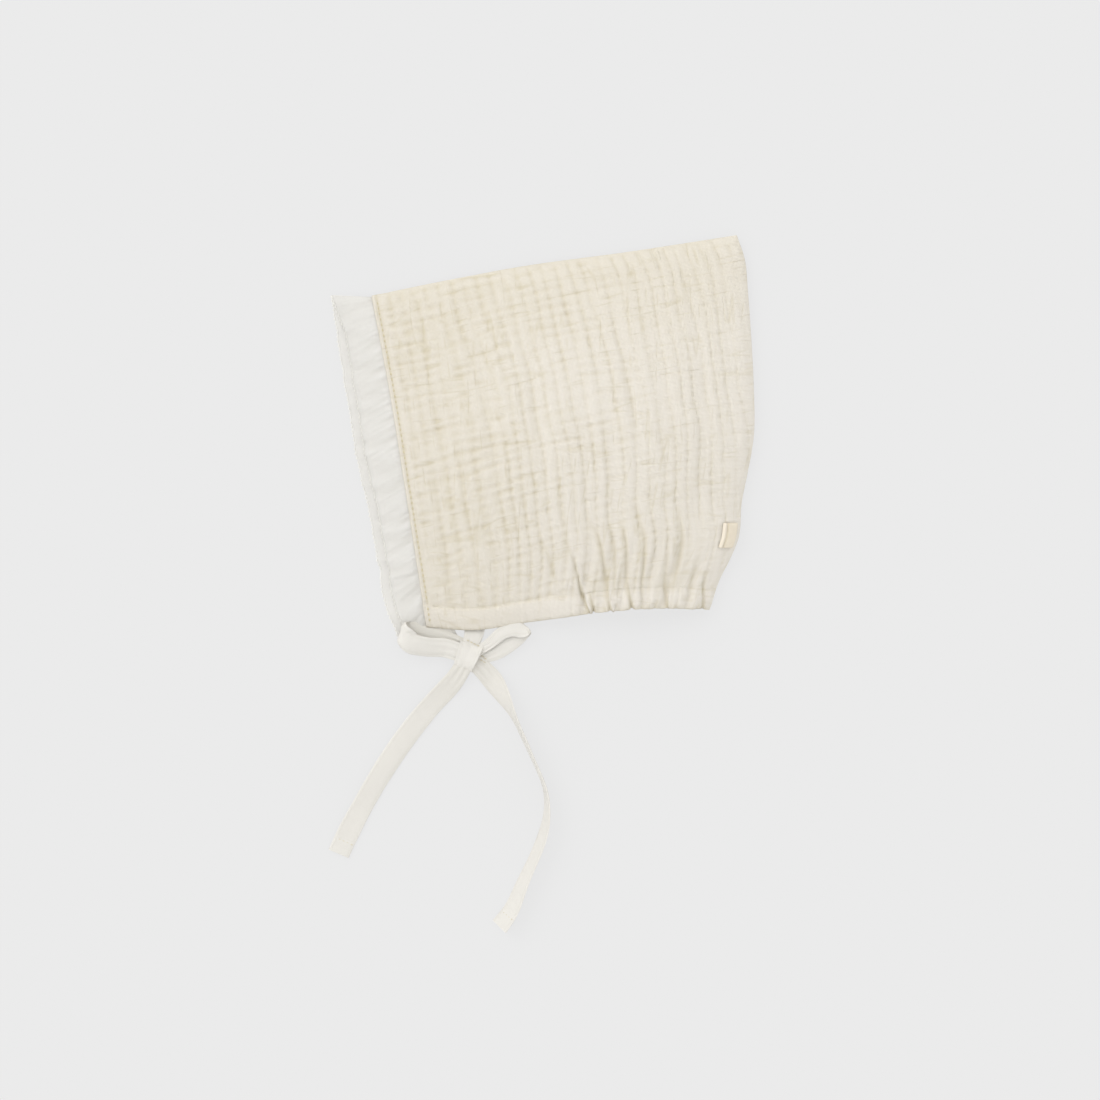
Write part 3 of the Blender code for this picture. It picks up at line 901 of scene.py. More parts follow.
    def rise(self, u: Array, v: Array) -> Array:
        """Height of the upper layer over the closed edges: a dome that runs out into the neck's line.

        Args:
            u: shares from the face edge to the back seam.
            v: shares from the crown to the neck edge.

        Returns:
            Heights in metres, less where a rib or pleat dips.
        """
        towards_neck = v**4
        dome = smooth(self.puff_along, u) * smooth(self.puff_down, v) * (1 - towards_neck)
        puff = self.puff * (dome + smooth(self.puff_neck, u) * towards_neck)
        puff = puff - self.rib_depth * self.grooves(self.ribs, u, v)
        return puff - self.pleat_depth * self.grooves(self.pleats, u, v)

    def surface(self, u: Array, v: Array, layer: Layer) -> Array:
        """Outer face of the hood.

        Where both closings are 1 the upper layer stands at the edge height and its rise, and the lower
        one lies on the table. Towards a closed edge both run to the middle height.

        Args:
            u: shares from the face edge to the back seam.
            v: shares from the crown to the neck edge.
            layer: which of the two layers.

        Returns:
            Points on the table, in metres.
        """
        closed = self.closing(v * self.depth_at(u)) * self.closing((1 - u) * self.width_at(v))
        middle = self.edge_height / 2
        if layer is Layer.UPPER:
            height = middle + (self.edge_height + self.rise(u, v) - middle) * closed
        else:
            height = middle * (1 - closed)
        return np.concatenate((self.on_table(self.flat_place(u, v)), height[..., None]), axis=-1)

    def corner(self) -> Array:
        """The front corner of the neck edge, on the table."""
        return self.on_table(self.flat_place(np.array(0.0), np.array(1.0)))


@dataclass
class Hood:
    """The hood's gauze: one cloth with its crinkle, a turned face edge and the topstitching along it."""

    form: HoodForm
    finishes: Finishes
    crinkle: Crinkle = Crinkle()
    wall: float = 0.8 * MM
    steps_across: int = 234
    steps_down: int = 181
    coarser: int = 3
    tuck: float = 2 * MM
    lip: float = 0.7 * MM
    stitch_line: float = 2.1 * MM
    stitch_pitch: float = 2.6 * MM
    plain_edge: float = 2.2 * MM
    crinkled_from: float = 6 * MM
    finely_sampled: float = 4.4 * MM
    lower_relief: float = 0.6
    # Shares of the folds' colour painted on: shade along the stitch furrow, on the crown and on the front,
    # and painted light (a negative share) towards the back seam.
    stitch_furrow_painted_shade: float = 0.35
    crown_painted_shade: float = 0.28
    front_painted_shade: float = 0.2
    back_painted_light: float = -0.12
    ribbed: tuple[Station, ...] = tabled(
        Station, (0, 0.8), (0.2, 0.95), (0.4, 1.05), (0.7, 1.1), (1, 0.8),
    )
    puckered: tuple[Station, ...] = tabled(
        Station, (0, 1.9), (0.3, 1.5), (0.6, 0.95), (1, 0.7),
    )
    gathers: tuple[Groove, ...] = tabled(
        Groove, (0.04, 0.49, 0.76, 0.93, 0.7, 1.2), (0.0735, 0.5695, 0.77, 1.25, 1.5, 0.8),
        (0.0865, 0.5825, 0.8, 1.25, -0.7, 0.9), (0.129, 0.589, 0.93, 1.12, 2.1, 1.1),
        (0.23, 0.65, 0.72, 1, 1.2, 1.2), (0.157, 0.647, 0.93, 1.15, 1.4, 1.2),
        (0.171, 0.661, 0.92, 1.15, -1, 0.8), (0.385, 0.665, 0.74, 0.98, 0.9, 1),
        (0.398, 0.708, 0.72, 0.98, 1.1, 1.1), (0.243, 0.723, 0.92, 1.12, 1.9, 1.1),
        (0.48, 0.76, 0.7, 1.05, 1.2, 1.2), (0.6, 0.806, 0.93, 1.2, 0.45, 1.2),
        (0.493, 0.843, 0.78, 1.2, 0.9, 1.1), (0.67, 0.86, 0.7, 0.97, 1.1, 1.2),
        (0.72, 0.955, 0.9, 1.2, 0.5, 1), (0.605, 0.975, 0.88, 1.12, 1.3, 0.9),
    )

    def samples(self) -> tuple[Array, Array]:
        """Shares across and down, closer together at the turned edge and round the closed folds.

        Returns:
            The shares across, and the shares down.
        """
        near = np.linspace(0, self.finely_sampled, 13)[:-1]
        turn = self.form.edge_round * (1 - np.cos(np.linspace(0, math.pi / 2, 16)))
        length = self.form.ridge_length
        steps = self.steps_across + 2 - len(near) - len(turn)
        even = np.linspace(self.finely_sampled, length - self.form.edge_round, steps)
        across = np.concatenate((near, even[:-1], length - turn[::-1])) / length
        depth = (self.form.face_depth + self.form.back_depth) / 2 - self.form.casing_height
        even = np.linspace(self.form.edge_round, depth, self.steps_down + 2 - len(turn))
        down = np.concatenate((turn, even[1:])) / depth
        return across, down

    def fall(self, u: Array, v: Array) -> Array:
        """Depth of the gauze below its crests, with the folds that the neck's elastic makes.

        The cloth goes on through the casing. In front the casing lies flat, so there its creases fade.

        Args:
            u: shares from the face edge to the back seam.
            v: shares from the crown to the neck edge.

        Returns:
            Depths in metres, 0 on a crest.
        """
        depth = self.form.depth_at(u)
        seam = depth * (1 - v) - self.form.casing_height
        drawn = self.drawn(u)
        flat = 1 - (0.75 - 0.55 * drawn) * ramp(-seam, 0, 1.5 * MM)
        smoothed = 1 - 0.6 * ramp(v, 0.76, 0.9) * (1 - ramp(u, 0.3, 0.5))
        creases = self.crinkle.depth(
            u * self.form.ridge_length,
            v * depth,
            flat * smooth(self.ribbed, u),
            flat * smoothed * smooth(self.puckered, u),
        )
        pinched = 0.25 * (1 - drawn) * MM * bump(seam, 0, 1.2 * MM)
        tucks = self.gather_noise(u) * (bump(seam, 0, 8 * MM) + 0.5 * ramp(-seam, 0, 6 * MM))
        return creases + pinched + tucks + MM * self.form.grooves(self.gathers, u, v)

    def drawn(self, u: Array) -> Array:
        """Share of the elastic's pull: none on the flat front, all from the middle of the neck back."""
        return ramp(u, 0.47, 0.57)

    def gather_noise(self, u: Array) -> Array:
        """Small uneven folds that the neck's elastic makes, from the middle of the neck to its back."""
        fold = 0.5 + 0.5 * noise(u * 55, 0 * u, 21)
        return 0.35 * MM * fold * self.drawn(u)

    def relief(self, u: Array, v: Array) -> Array:
        """How far the gauze's face stands above the form, negative in its folds.

        Near the face edge the crinkle gives way to the turned lip and the furrow of its stitching.

        Args:
            u: shares from the face edge to the back seam.
            v: shares from the crown to the neck edge.

        Returns:
            Heights over the form, in metres.
        """
        edge = u * self.form.width_at(v)
        depth = self.form.depth_at(u)
        under = 0.9 * MM * ramp(self.form.casing_height - (1 - v) * depth, 0.2 * MM, 1.2 * MM)
        closed_edges = np.minimum(v * depth, (1 - u) * self.form.width_at(v))
        fades = ramp(edge, self.plain_edge, self.crinkled_from) * calmed(closed_edges)
        turned = 0.3 * MM * bump(edge, self.lip, 0.9 * MM) - 0.3 * MM * bump(edge, 0, 0.3 * MM)
        turned = turned - 0.3 * MM * bump(edge, self.stitch_line, 0.5 * MM)
        turned = turned + 0.25 * MM * bump(edge, 2.4 * self.stitch_line, 1.4 * MM)
        return turned * ramp(v, 0, 0.015) - self.fall(u, v) * fades + 0.3 * MM * fades - under

    def skin(self, u: Array, v: Array, layer: Layer) -> tuple[Array, Array]:
        """Points of the gauze's outer face and the share of painted shade at each.

        Args:
            u: shares from the face edge to the back seam.
            v: shares from the crown to the neck edge.
            layer: which of the two layers.

        Returns:
            The points, and shares of painted shade that are 0 on a crest and 1 deep in a fold.
        """
        form = self.form.surface(u, v, layer)
        way = facing(outward(form), layer)
        relief = self.relief(u, v)
        if layer is Layer.LOWER:
            relief = np.minimum(relief, 0) * self.lower_relief
        edge = u * self.form.width_at(v)
        # Painted shade: the folds' colour by depth, taken off the turned lip, with more along the stitch
        # furrow, on the crown and on the front, and painted light at the back seam.
        fold = painted_fold_shade(relief) * (1 - 0.9 * bump(edge, 0.5 * MM, 1.2 * MM))
        fold = fold + self.stitch_furrow_painted_shade * bump(edge, self.stitch_line, 0.4 * MM)
        below_crown = ramp(v, 0, 0.36)
        fold = fold + self.front_painted_shade * (1 - ramp(u, 0.15, 0.5)) * below_crown
        fold = fold + self.crown_painted_shade * (1 - below_crown) + self.back_painted_light * ramp(u, 0.88, 1)
        return form + way * relief[..., None], fold

    def gauze(self) -> Piece:
        """The gauze as one sheet over the crown, with a coarser grid on the table's side.

        The lower grid shares the upper one's vertices along the crown and the back seam, and its first
        faces there take in the finer steps between them.

        Returns:
            The piece, not yet built.
        """
        across, down = self.samples()
        step = self.coarser
        share = 1 - (self.form.casing_height - self.tuck) / self.form.depth_at(across)
        u, v = np.meshgrid(across, down[::-1], indexing="ij")
        v = v * share[:, None]
        top, top_fold = self.skin(u, v, Layer.UPPER)
        upper = numbered(u)
        u_low, v_low = np.meshgrid(across[::step], down[::step], indexing="ij")
        v_low = v_low * share[::step, None]
        base, base_fold = self.skin(u_low, v_low, Layer.LOWER)
        lower = upper.size + numbered(u_low)
        lower[:, 0] = upper[::step, -1]
        lower[-1, :] = upper[-1, ::-1][::step]
        faces = grid_faces(upper) + grid_faces(lower[:-1, 1:])
        for i in range(lower.shape[0] - 1):
            crown = upper[step * i : step * (i + 1) + 1, -1].tolist()
            side = [int(lower[i + 1, 1])]
            if i == lower.shape[0] - 2:
                side = upper[-1, ::-1][1 : step + 1].tolist()
            faces.append(crown + side + [int(lower[i, 1])])
        for j in range(1, lower.shape[1] - 1):
            back = upper[-1, ::-1][step * j : step * (j + 1) + 1].tolist()
            faces.append([int(lower[-2, j])] + back + [int(lower[-2, j + 1])])
        along, down = self.form.ridge_length, self.form.back_depth
        cloth = np.stack((u * along, down - v * down), axis=-1).reshape(-1, 2)
        cloth_low = np.stack((u_low * along, down + v_low * down), axis=-1).reshape(-1, 2)
        return Piece(
            "gauze_hood",
            np.concatenate((top.reshape(-1, 3), base.reshape(-1, 3))),
            faces,
            np.concatenate((cloth, cloth_low)),
            np.concatenate((top_fold.ravel(), base_fold.ravel())),
            self.finishes.gauze,
            "gauze",
            replaces=("hood_gauze",),
            wall=self.wall,
        )

    def topstitching(self) -> Piece:
        """The row of stitches in the furrow beside the turned face edge.

        Returns:
            The piece, not yet built.
        """
        length = self.form.face_depth
        v = np.linspace(0.02, 1 - (self.form.casing_height + 0.3 * MM) / length, 800)
        u = self.stitch_line / self.form.width_at(v)
        grid_u = np.stack((u - 0.002, u, u + 0.002), axis=0)
        points, _ = self.skin(grid_u, np.stack((v, v, v), axis=0), Layer.UPPER)
        side = unit(points[2] - points[0])
        lift = facing(unit(np.cross(np.gradient(points[1], axis=0), side)), Layer.UPPER)
        thread = self.finishes.seam_thread
        row = StitchRow("face_topstitching", points[1], lift, self.stitch_pitch, thread)
        log.info("topstitching: %d stitches over %.0f mm", row.count(), length / MM)
        return row.piece("gauze")


@dataclass
class StitchRow:
    """A row of lockstitches along a line of points: short strands that dive into the cloth at their ends."""

    name: str
    line: Array
    lift: Array
    pitch: float
    material: bpy.types.Material
    share: float = 0.8
    radius: float = 0.42 * MM
    proud: float = 0.05 * MM
    rings: int = 9
    sides: int = 8

    def count(self) -> int:
        """How many stitches the line takes."""
        return int(run_along(self.line)[-1] // self.pitch)

    def piece(self, slot: str) -> Piece:
        """The stitches as one mesh.

        Ring r of a stitch lies at the share sin(a) of its half length, with the radius times the root
        of cos(a), and its middle is lifted by a parabola, highest half way along.

        Args:
            slot: the material slot that the thread belongs to; it is kept on the piece but not used.

        Returns:
            The piece, not yet built.
        """
        run = run_along(self.line)
        middle = (np.arange(self.count())[:, None] + 0.5) * self.pitch
        angle = np.linspace(-math.pi / 2, math.pi / 2, self.rings)
        at = middle + np.sin(angle) * self.pitch * self.share / 2
        centre = read_along(at, run, self.line)
        lift = unit(read_along(at, run, self.lift))
        ahead = unit(np.gradient(centre, axis=1))
        aside = unit(np.cross(ahead, lift))
        bowed = self.proud - 2.2 * self.radius * np.sin(angle) ** 2
        centre = centre + lift * bowed[:, None]
        radius = self.radius * np.sqrt(np.cos(angle).clip(0))
        points, around = tube(centre, radius, aside, lift, self.sides)
        faces = grid_faces(numbered(points[..., 0]))
        turn = np.broadcast_to(around * self.radius, points.shape[:3])
        cloth = np.stack((np.broadcast_to(at[..., None], turn.shape), turn), axis=-1)
        return Piece(self.name, points, faces, cloth, 0 * turn, self.material, slot)


@dataclass
class NeckCasing:
    """The casing round the neck edge: flat in front, and drawn up by its elastic from the middle back."""

    form: HoodForm
    hood: Hood
    finishes: Finishes
    wall: float = 1.0 * MM
    steps_along: int = 330
    steps_high: int = 18
    belly: float = 0.9 * MM
    foot: float = 1.1
    tuck: float = 0.08
    lower_relief: float = 0.5
    # Painted shade on the flat front, as a share of the folds' colour.
    front_painted_shade: float = 0.18

    def edge(self, u: Array) -> Array:
        """Share at which the casing's lower edge lies: it draws in where a gather ends."""
        return self.foot - 0.05 * self.hood.drawn(u) * self.hood.fall(u, np.ones_like(u)) / MM

    def relief(self, u: Array, share: Array) -> Array:
        """How far the casing stands above the form.

        share is 0 at its seam and 1 at the neck edge. Its upper edge is tucked under the gauze, which it
        meets level where the elastic draws it up and stands a little above in front. Between its edges it
        bellies out. The gauze's folds go on in it.

        Args:
            u: shares from the face edge to the back seam.
            share: shares of the casing's height.

        Returns:
            Heights over the form, in metres.
        """
        drawn = self.hood.drawn(u)
        v = self.form.casing_v(u, share)
        belly = self.belly * (0.4 + 0.2 * drawn) * np.sin(math.pi * np.clip(share, 0, 1)) ** 2
        lap = 0.12 * (1 - drawn) * MM - 0.5 * MM * (1 - ramp(share, -self.tuck, 0.02))
        foot = 0.6 * MM * bump(share, self.edge(u), 0.1)
        hood = self.hood
        fades = ramp(u * self.form.width_at(v), hood.plain_edge, hood.crinkled_from)
        return 0.3 * MM + lap + belly - self.hood.fall(u, v) * fades - foot

    def skin(self, layer: Layer) -> tuple[Array, Array, Array]:
        """Points, shares of painted shade and cloth places of one layer's band, from the neck edge up to its
        seam.

        Args:
            layer: which of the two layers.

        Returns:
            The points, shares of painted shade and cloth places.
        """
        t = np.linspace(0, 1, self.steps_along + 1)
        u = 0.6 * t + 0.4 * (1 - (1 - t) ** 2)
        u, share = np.meshgrid(u, np.linspace(0, 1, self.steps_high + 1), indexing="ij")
        share = share * (self.edge(u) + self.tuck) - self.tuck
        v = self.form.casing_v(u, share)
        form = self.form.surface(u, v, layer)
        way = facing(outward(form), layer)
        relief = self.relief(u, share)
        width = self.form.width_at(v)
        if layer is Layer.LOWER:
            relief = np.minimum(relief, 0) * self.lower_relief
        points = form + way * (relief * calmed((1 - u) * width))[..., None]
        stitched = bump(u * width, self.hood.stitch_line, 0.45 * MM)
        # Painted shade: the folds' colour by depth, with more along the stitch furrow and on the flat front.
        fold = painted_fold_shade(relief) + self.hood.stitch_furrow_painted_shade * stitched
        fold = fold + self.front_painted_shade * (1 - ramp(u, 0.15, 0.5))
        down = self.form.back_depth + share * self.form.casing_height
        return points, fold, np.stack((u * self.form.ridge_length, down), axis=-1)

    def band(self) -> Piece:
        """The casing as one strip, up the upper layer and down the lower one, joined at the back.

        Returns:
            The piece, not yet built.
        """
        top, top_fold, top_cloth = self.skin(Layer.UPPER)
        base, base_fold, base_cloth = self.skin(Layer.LOWER)
        points = np.concatenate((top[:, ::-1], base[::-1, ::-1][1:]))
        points[top.shape[0] - 1] = top[-1, ::-1]
        fold = np.concatenate((top_fold[:, ::-1], base_fold[::-1, ::-1][1:]))
        cloth = np.concatenate((top_cloth[:, ::-1], base_cloth[::-1, ::-1][1:] + (0, 40 * MM)))
        return Piece(
            "gathered_neck_casing",
            points,
            grid_faces(numbered(fold)),
            cloth,
            fold,
            self.finishes.gauze,
            "gauze",
            replaces=("neck_casing",),
            wall=self.wall,
        )

    def face_stitching(self) -> Piece:
        """The face edge's row of stitches, where it goes on through the casing.

        Returns:
            The piece, not yet built.
        """
        share = np.linspace(0.04, 1.02, 120)
        v = 1 - (1 - share) * self.form.casing_height / self.form.face_depth
        u = self.hood.stitch_line / self.form.width_at(v)
        form = self.form.surface(np.stack((u - 0.002, u, u + 0.002)), np.stack((v, v, v)), Layer.UPPER)
        way = facing(unit(np.cross(form[2] - form[0], np.gradient(form[1], axis=0))), Layer.UPPER)
        line = form[1] + way * self.relief(u, share)[:, None]
        thread = self.finishes.seam_thread
        return StitchRow("casing_face_stitching", line, way, self.hood.stitch_pitch, thread).piece("gauze")

    def seam_stitching(self) -> Piece:
        """The stitches along the flat front of the casing, just below its seam.

        Returns:
            The piece, not yet built.
        """
        u = np.linspace(0.02, 0.5, 600)
        share = np.full_like(u, 0.1)
        v = self.form.casing_v(u, share)
        form = self.form.surface(np.stack((u, u)), np.stack((v, v + 0.004)), Layer.UPPER)
        way = facing(unit(np.cross(np.gradient(form[0], axis=0), form[1] - form[0])), Layer.UPPER)
        line = form[0] + way * self.relief(u, share)[:, None]
        thread = self.finishes.gauze_thread
        row = StitchRow("casing_stitching", line, way, 2.4 * MM, thread, radius=0.2 * MM, proud=0.0)
        return row.piece("gauze")


@dataclass
class Frill:
    """The gathered frill round the face, folded with the hood at the crown, with a picot edge."""

    form: HoodForm
    finishes: Finishes
    width: float = 20 * MM
    cloth: float = 1.2 * MM
    wall: float = 0.55 * MM
    peek: float = 4.2 * MM
    wave: float = 0.5 * MM
    gathers: int = 13
    root: float = 2.0 * MM
    steps_along: int = 380
    steps_out: int = 26
    picot_pitch: float = 2.1 * MM
    ruffle: float = 0.5 * MM
    hill: float = 0.75 * MM
    below_edge: float = 0.75 * MM
    rests_at: float = 1.4 * MM
    tip_height: float = 1.0 * MM
    width_shape: tuple[Station, ...] = tabled(
        Station, (0, 0.9), (0.25, 0.98), (0.47, 1), (0.6, 0.93), (0.82, 0.85), (0.9, 0.86), (1, 0.68),
    )
    folds: tuple[Groove, ...] = tabled(
        Groove, (0.012, 0.03, 0.1, 1, 0.4, 0.8), (0.13, 0.14, 0, 0.6, 0.35, 0.7),
        (0.29, 0.3, 0, 0.7, 0.5, 0.7), (0.505, 0.52, 0, 0.8, 0.4, 0.8), (0.64, 0.66, 0, 0.7, 0.4, 0.7),
        (0.705, 0.72, 0, 0.9, 0.45, 0.8), (0.838, 0.85, 0, 1, 1.3, 1.0),
        (0.878, 0.92, 0, 0.85, 0.8, 1.0), (0.952, 0.975, 0, 0.7, 0.5, 0.7),
    )

    def creased(self, v: Array, out: Array) -> Array:
        """Height of the pressed folds, between 0 and 1: each rises gently from above and drops off below.

        Above its line a fold is a soft hill six times as wide as the one below.

        Args:
            v: shares from the crown to the neck edge.
            out: shares of the way from the seam to the free edge.

        Returns:
            The heights.
        """
        total = np.zeros(np.broadcast(v, out).shape)
        for row in self.folds:
            off = (v - row.top - (row.foot - row.top) * out) * self.form.face_depth / MM
            span = ramp(out, row.starts - 0.05, row.starts + 0.2)
            span = span * (1 - ramp(out, row.ends - 0.25, row.ends + 0.1))
            total = total + row.depth * span * bump(off, 0, np.where(off < 0, 6.0, 1.0) * row.width)
        return total

    def waves(self, v: Array) -> Array:
        """Uneven waves of the gathers, between 0 and 1: two sines along the frill, as in the CAD."""
        turn = 2 * math.pi * self.gathers * v
        wave = 0.6 * np.sin(turn) + 0.4 * np.sin(1.63 * turn + 1.1)
        return 0.5 + 0.5 * wave

    def pleats(self, share: Array, out: Array) -> Array:
        """Small folds from the seam, between -1 and 1, that slant down and die out towards the edge."""
        along = np.abs(share) * 62 + np.sign(share) * 7 - 2.8 * out
        fold = noise(along, 0.8 * out, 41) + 0.8 * noise(along * 2.3, 1.3 * out, 42)
        return np.clip(fold, -1, 1) * (1 - 0.7 * out) * ramp(out, -0.1, 0.12)

    def surface(self, share: Array, out: Array) -> Array:
        """Middle of the frill's cloth: share from -1 over the crown fold at 0 to 1, out from the seam.

        The upper half comes down from the hood's edge to rest on the lower half, which lies on the
        table. Both are waved more and more towards the free edge.

        Args:
            share: shares along the seam, negative on the upper layer.
            out: shares of the way from the seam to the free edge, negative under the gauze.

        Returns:
            Points on the table, in metres.
        """
        v = np.abs(share)
        upper = share < 0
        seam = np.where(
            upper[..., None],
            self.form.surface(0 * v, v, Layer.UPPER),
            self.form.surface(0 * v, v, Layer.LOWER),
        )
        peek = np.where(upper, self.peek * np.clip(8 * v, 0, 1), 0)
        ruffled = self.ruffle * noise(v * 30, 0 * v, 43) + 0.3 * MM * (self.waves(v) - 0.5)
        width = self.width * smooth(self.width_shape, v) - peek + ruffled * np.clip(8 * v, 0, 1)
        fan = np.radians(5 - 12 * v) + self.form.lean * (2 * v - 1) / 2
        beyond = np.clip(out, 0, 1)
        reach = self.form.gap + width * beyond + self.root * np.minimum(out, 0) / 0.1
        closed = self.form.closing(v * self.form.face_depth)
        end = ramp(v, 0.88, 1) * beyond
        x = seam[..., 0] - reach * np.cos(fan) + 1.6 * MM * end
        y = seam[..., 1] + reach * np.sin(fan) - 0.9 * MM * (1 - closed) * (1 - beyond) - 5.5 * MM * end
        drop = beyond * beyond * (3 - 2 * beyond)
        middle = self.form.edge_height / 2 * (1 - drop) + self.tip_height * drop
        slack = closed * (1 - 0.65 * np.clip((v - 0.85) / 0.15, 0, 1))
        wave = self.wave * self.waves(v) * slack * beyond
        top = (seam[..., 2] - self.below_edge) * (1 - drop) + self.rests_at * drop
        pleat = self.pleats(share, out) * slack
        top = top + wave + self.ruffle * pleat + self.hill * self.creased(v, beyond)
        top = middle + (top - middle) * closed
        bottom = self.cloth / 2 + wave + 0.15 * MM * (1 + pleat) * beyond
        bottom = bottom + self.below_edge * (1 - ramp(out, -0.02, 0.1))
        bottom = middle + (bottom - middle) * closed
        return np.stack((x, y, np.where(upper, top, bottom)), axis=-1)

    def shares(self) -> Array:
        """Shares along one half, closer together round the crown fold.

        Returns:
            Shares from the crown fold to the neck.
        """
        turn = 1 - np.cos(np.linspace(0, math.pi / 2, 120))
        turn = turn[turn < 0.1]
        even = np.linspace(0.1, 1, self.steps_along - len(turn))
        return np.concatenate((turn, even))

    def cloth_piece(self) -> Piece:
        """The frill's cloth.

        Returns:
            The piece, not yet built.
        """
        half = self.shares()
        share = np.concatenate((-half[::-1], half[1:]))
        out = np.concatenate(((-0.1, -0.03), np.linspace(0, 1, self.steps_out)))
        share, out = np.meshgrid(share, out, indexing="ij")
        points = self.surface(share, out)
        v = np.abs(share)
        # Painted shade: the folds' colour in the small pleats by the seam and the gathers' valleys towards
        # the edge, and none on the outer half of the lower layer.
        tight = 0.5 - 0.5 * self.pleats(share, out)
        valley = 1 - self.waves(v)
        fold = 0.7 * tight * (1 - 0.8 * out.clip(0, 1)) + 0.25 * valley * out.clip(0, 1)
        fold = np.where((share > 0) & (out > 0.5), 0, fold)
        cloth = np.stack((share * self.form.face_depth * 1.6, out * self.width), axis=-1)
        return Piece(
            "white_frill",
            points,
            grid_faces(numbered(share)),
            cloth,
            fold,
            self.finishes.lawn,
            "frill",
            replaces=("face_frill",),
            wall=self.wall,
            outwards=0.0,
        )

    def picot(self) -> Piece:
        """The picot edge: a thread cord round the free edge with a small bead at every pitch.

        The cord's radius swells by the sixth power of a cosine, and its middle moves out with it.

        Returns:
            The piece, not yet built.
        """
        half = np.linspace(0, 1, 1700)
        share = np.concatenate((-half[::-1], half[1:]))
        out = np.stack((np.full_like(share, 0.97), np.ones_like(share)))
        edge = self.surface(np.stack((share, share)), out)
        run = run_along(edge[1])
        at = np.linspace(0, run[-1], int(run[-1] / self.picot_pitch * 12))
        line = read_along(at, run, edge[1])
        ahead = unit(np.gradient(line, axis=0))
        away = square_to(read_along(at, run, edge[1] - edge[0]), ahead)
        lift = np.cross(ahead, away)
        bead = np.cos(np.pi * at / self.picot_pitch) ** 6
        radius = (0.22 + 0.16 * bead) * MM
        centre = line + away * ((0.05 + 0.45 * bead) * MM)[:, None]
        points, around = tube(centre, radius, away, lift, 8)
        points[..., 2] = np.maximum(points[..., 2], ON_TABLE)
        index = numbered(points[..., 0])
        turn = np.broadcast_to(around * 0.4 * MM, index.shape)
        cloth = np.stack((np.broadcast_to(at[:, None], index.shape), turn), axis=-1)
        faces = grid_faces(index) + [index[0, :-1].tolist(), index[-1, -2::-1].tolist()]
        thread = self.finishes.white_thread
        return Piece("frill_picot_edge", points, faces, cloth, 0 * turn, thread, "frill")


@dataclass
class Label:
    """The small sewn label beside the back seam: a folded ribbon, left bare."""

    form: HoodForm
    finishes: Finishes
    length: float = 11 * MM
    width: float = 6.2 * MM

    def skin(self, across: Array, down: Array, lift: float) -> tuple[Array, Array]:
        """Points over the hood's upper layer and the way out from it.

        Args:
            across: shares of the label's width, from its inner edge to the seam.
            down: shares of its length, from the top.
            lift: how far above the hood.

        Returns:
            The points and the unit normals.
        """
        v = 0.8 + (down - 0.5) * self.length / self.form.back_depth
        u = 0.985 - (1 - across) * self.width / self.form.width_at(np.array(0.8))
        form = self.form.surface(u, v, Layer.UPPER)
        way = facing(outward(form), Layer.UPPER)
        return form + way * lift, way

    def ribbon(self) -> Piece:
        """The ribbon, with a fold along its inner edge that stands up as a ridge.

        Returns:
            The piece, not yet built.
        """
        across, down = np.meshgrid(np.linspace(0, 1, 37), np.linspace(0, 1, 49), indexing="ij")
        form, way = self.skin(across, down, 0.0)
        high = 0.75 * MM + 0.35 * MM * bump(across, 0.12, 0.09) - 0.25 * MM * bump(across, 0.3, 0.08)
        high = high - 0.3 * MM * (bump(down, 0, 0.04) + bump(down, 1, 0.04))
        high = high - 0.2 * MM * bump(across, 0, 0.05)
        high = high + 0.12 * MM * noise(across * 3, down * 5, 51)
        points = form + way * high[..., None]
        # A quarter of the folds' colour all over, with painted shade in the dip beside the fold's ridge and
        # a painted highlight on the ridge.
        fold = 0.25 + 0.5 * bump(across, 0.3, 0.1) - 0.25 * bump(across, 0.1, 0.1)
        cloth = np.stack((across * self.width, down * self.length), axis=-1)
        return Piece(
            "bare_label",
            points,
            grid_faces(numbered(fold)),
            cloth,
            fold,
            self.finishes.label,
            "label",
            replaces=("back_label",),
            wall=0.5 * MM,
        )

    def stitching(self) -> Piece:
        """The stitches that hold the label's inner edge.

        Returns:
            The piece, not yet built.
        """
        down = np.linspace(0.05, 0.95, 120)
        down = np.stack((down, down, down))
        across = np.stack((np.full(120, 0.18), np.full(120, 0.22), np.full(120, 0.26)))
        points, way = self.skin(across, down, 0.95 * MM)
        thread = self.finishes.white_thread
        row = StitchRow("label_stitching", points[1], way[1], 1.5 * MM, thread, radius=0.2 * MM)
        return row.piece("label")


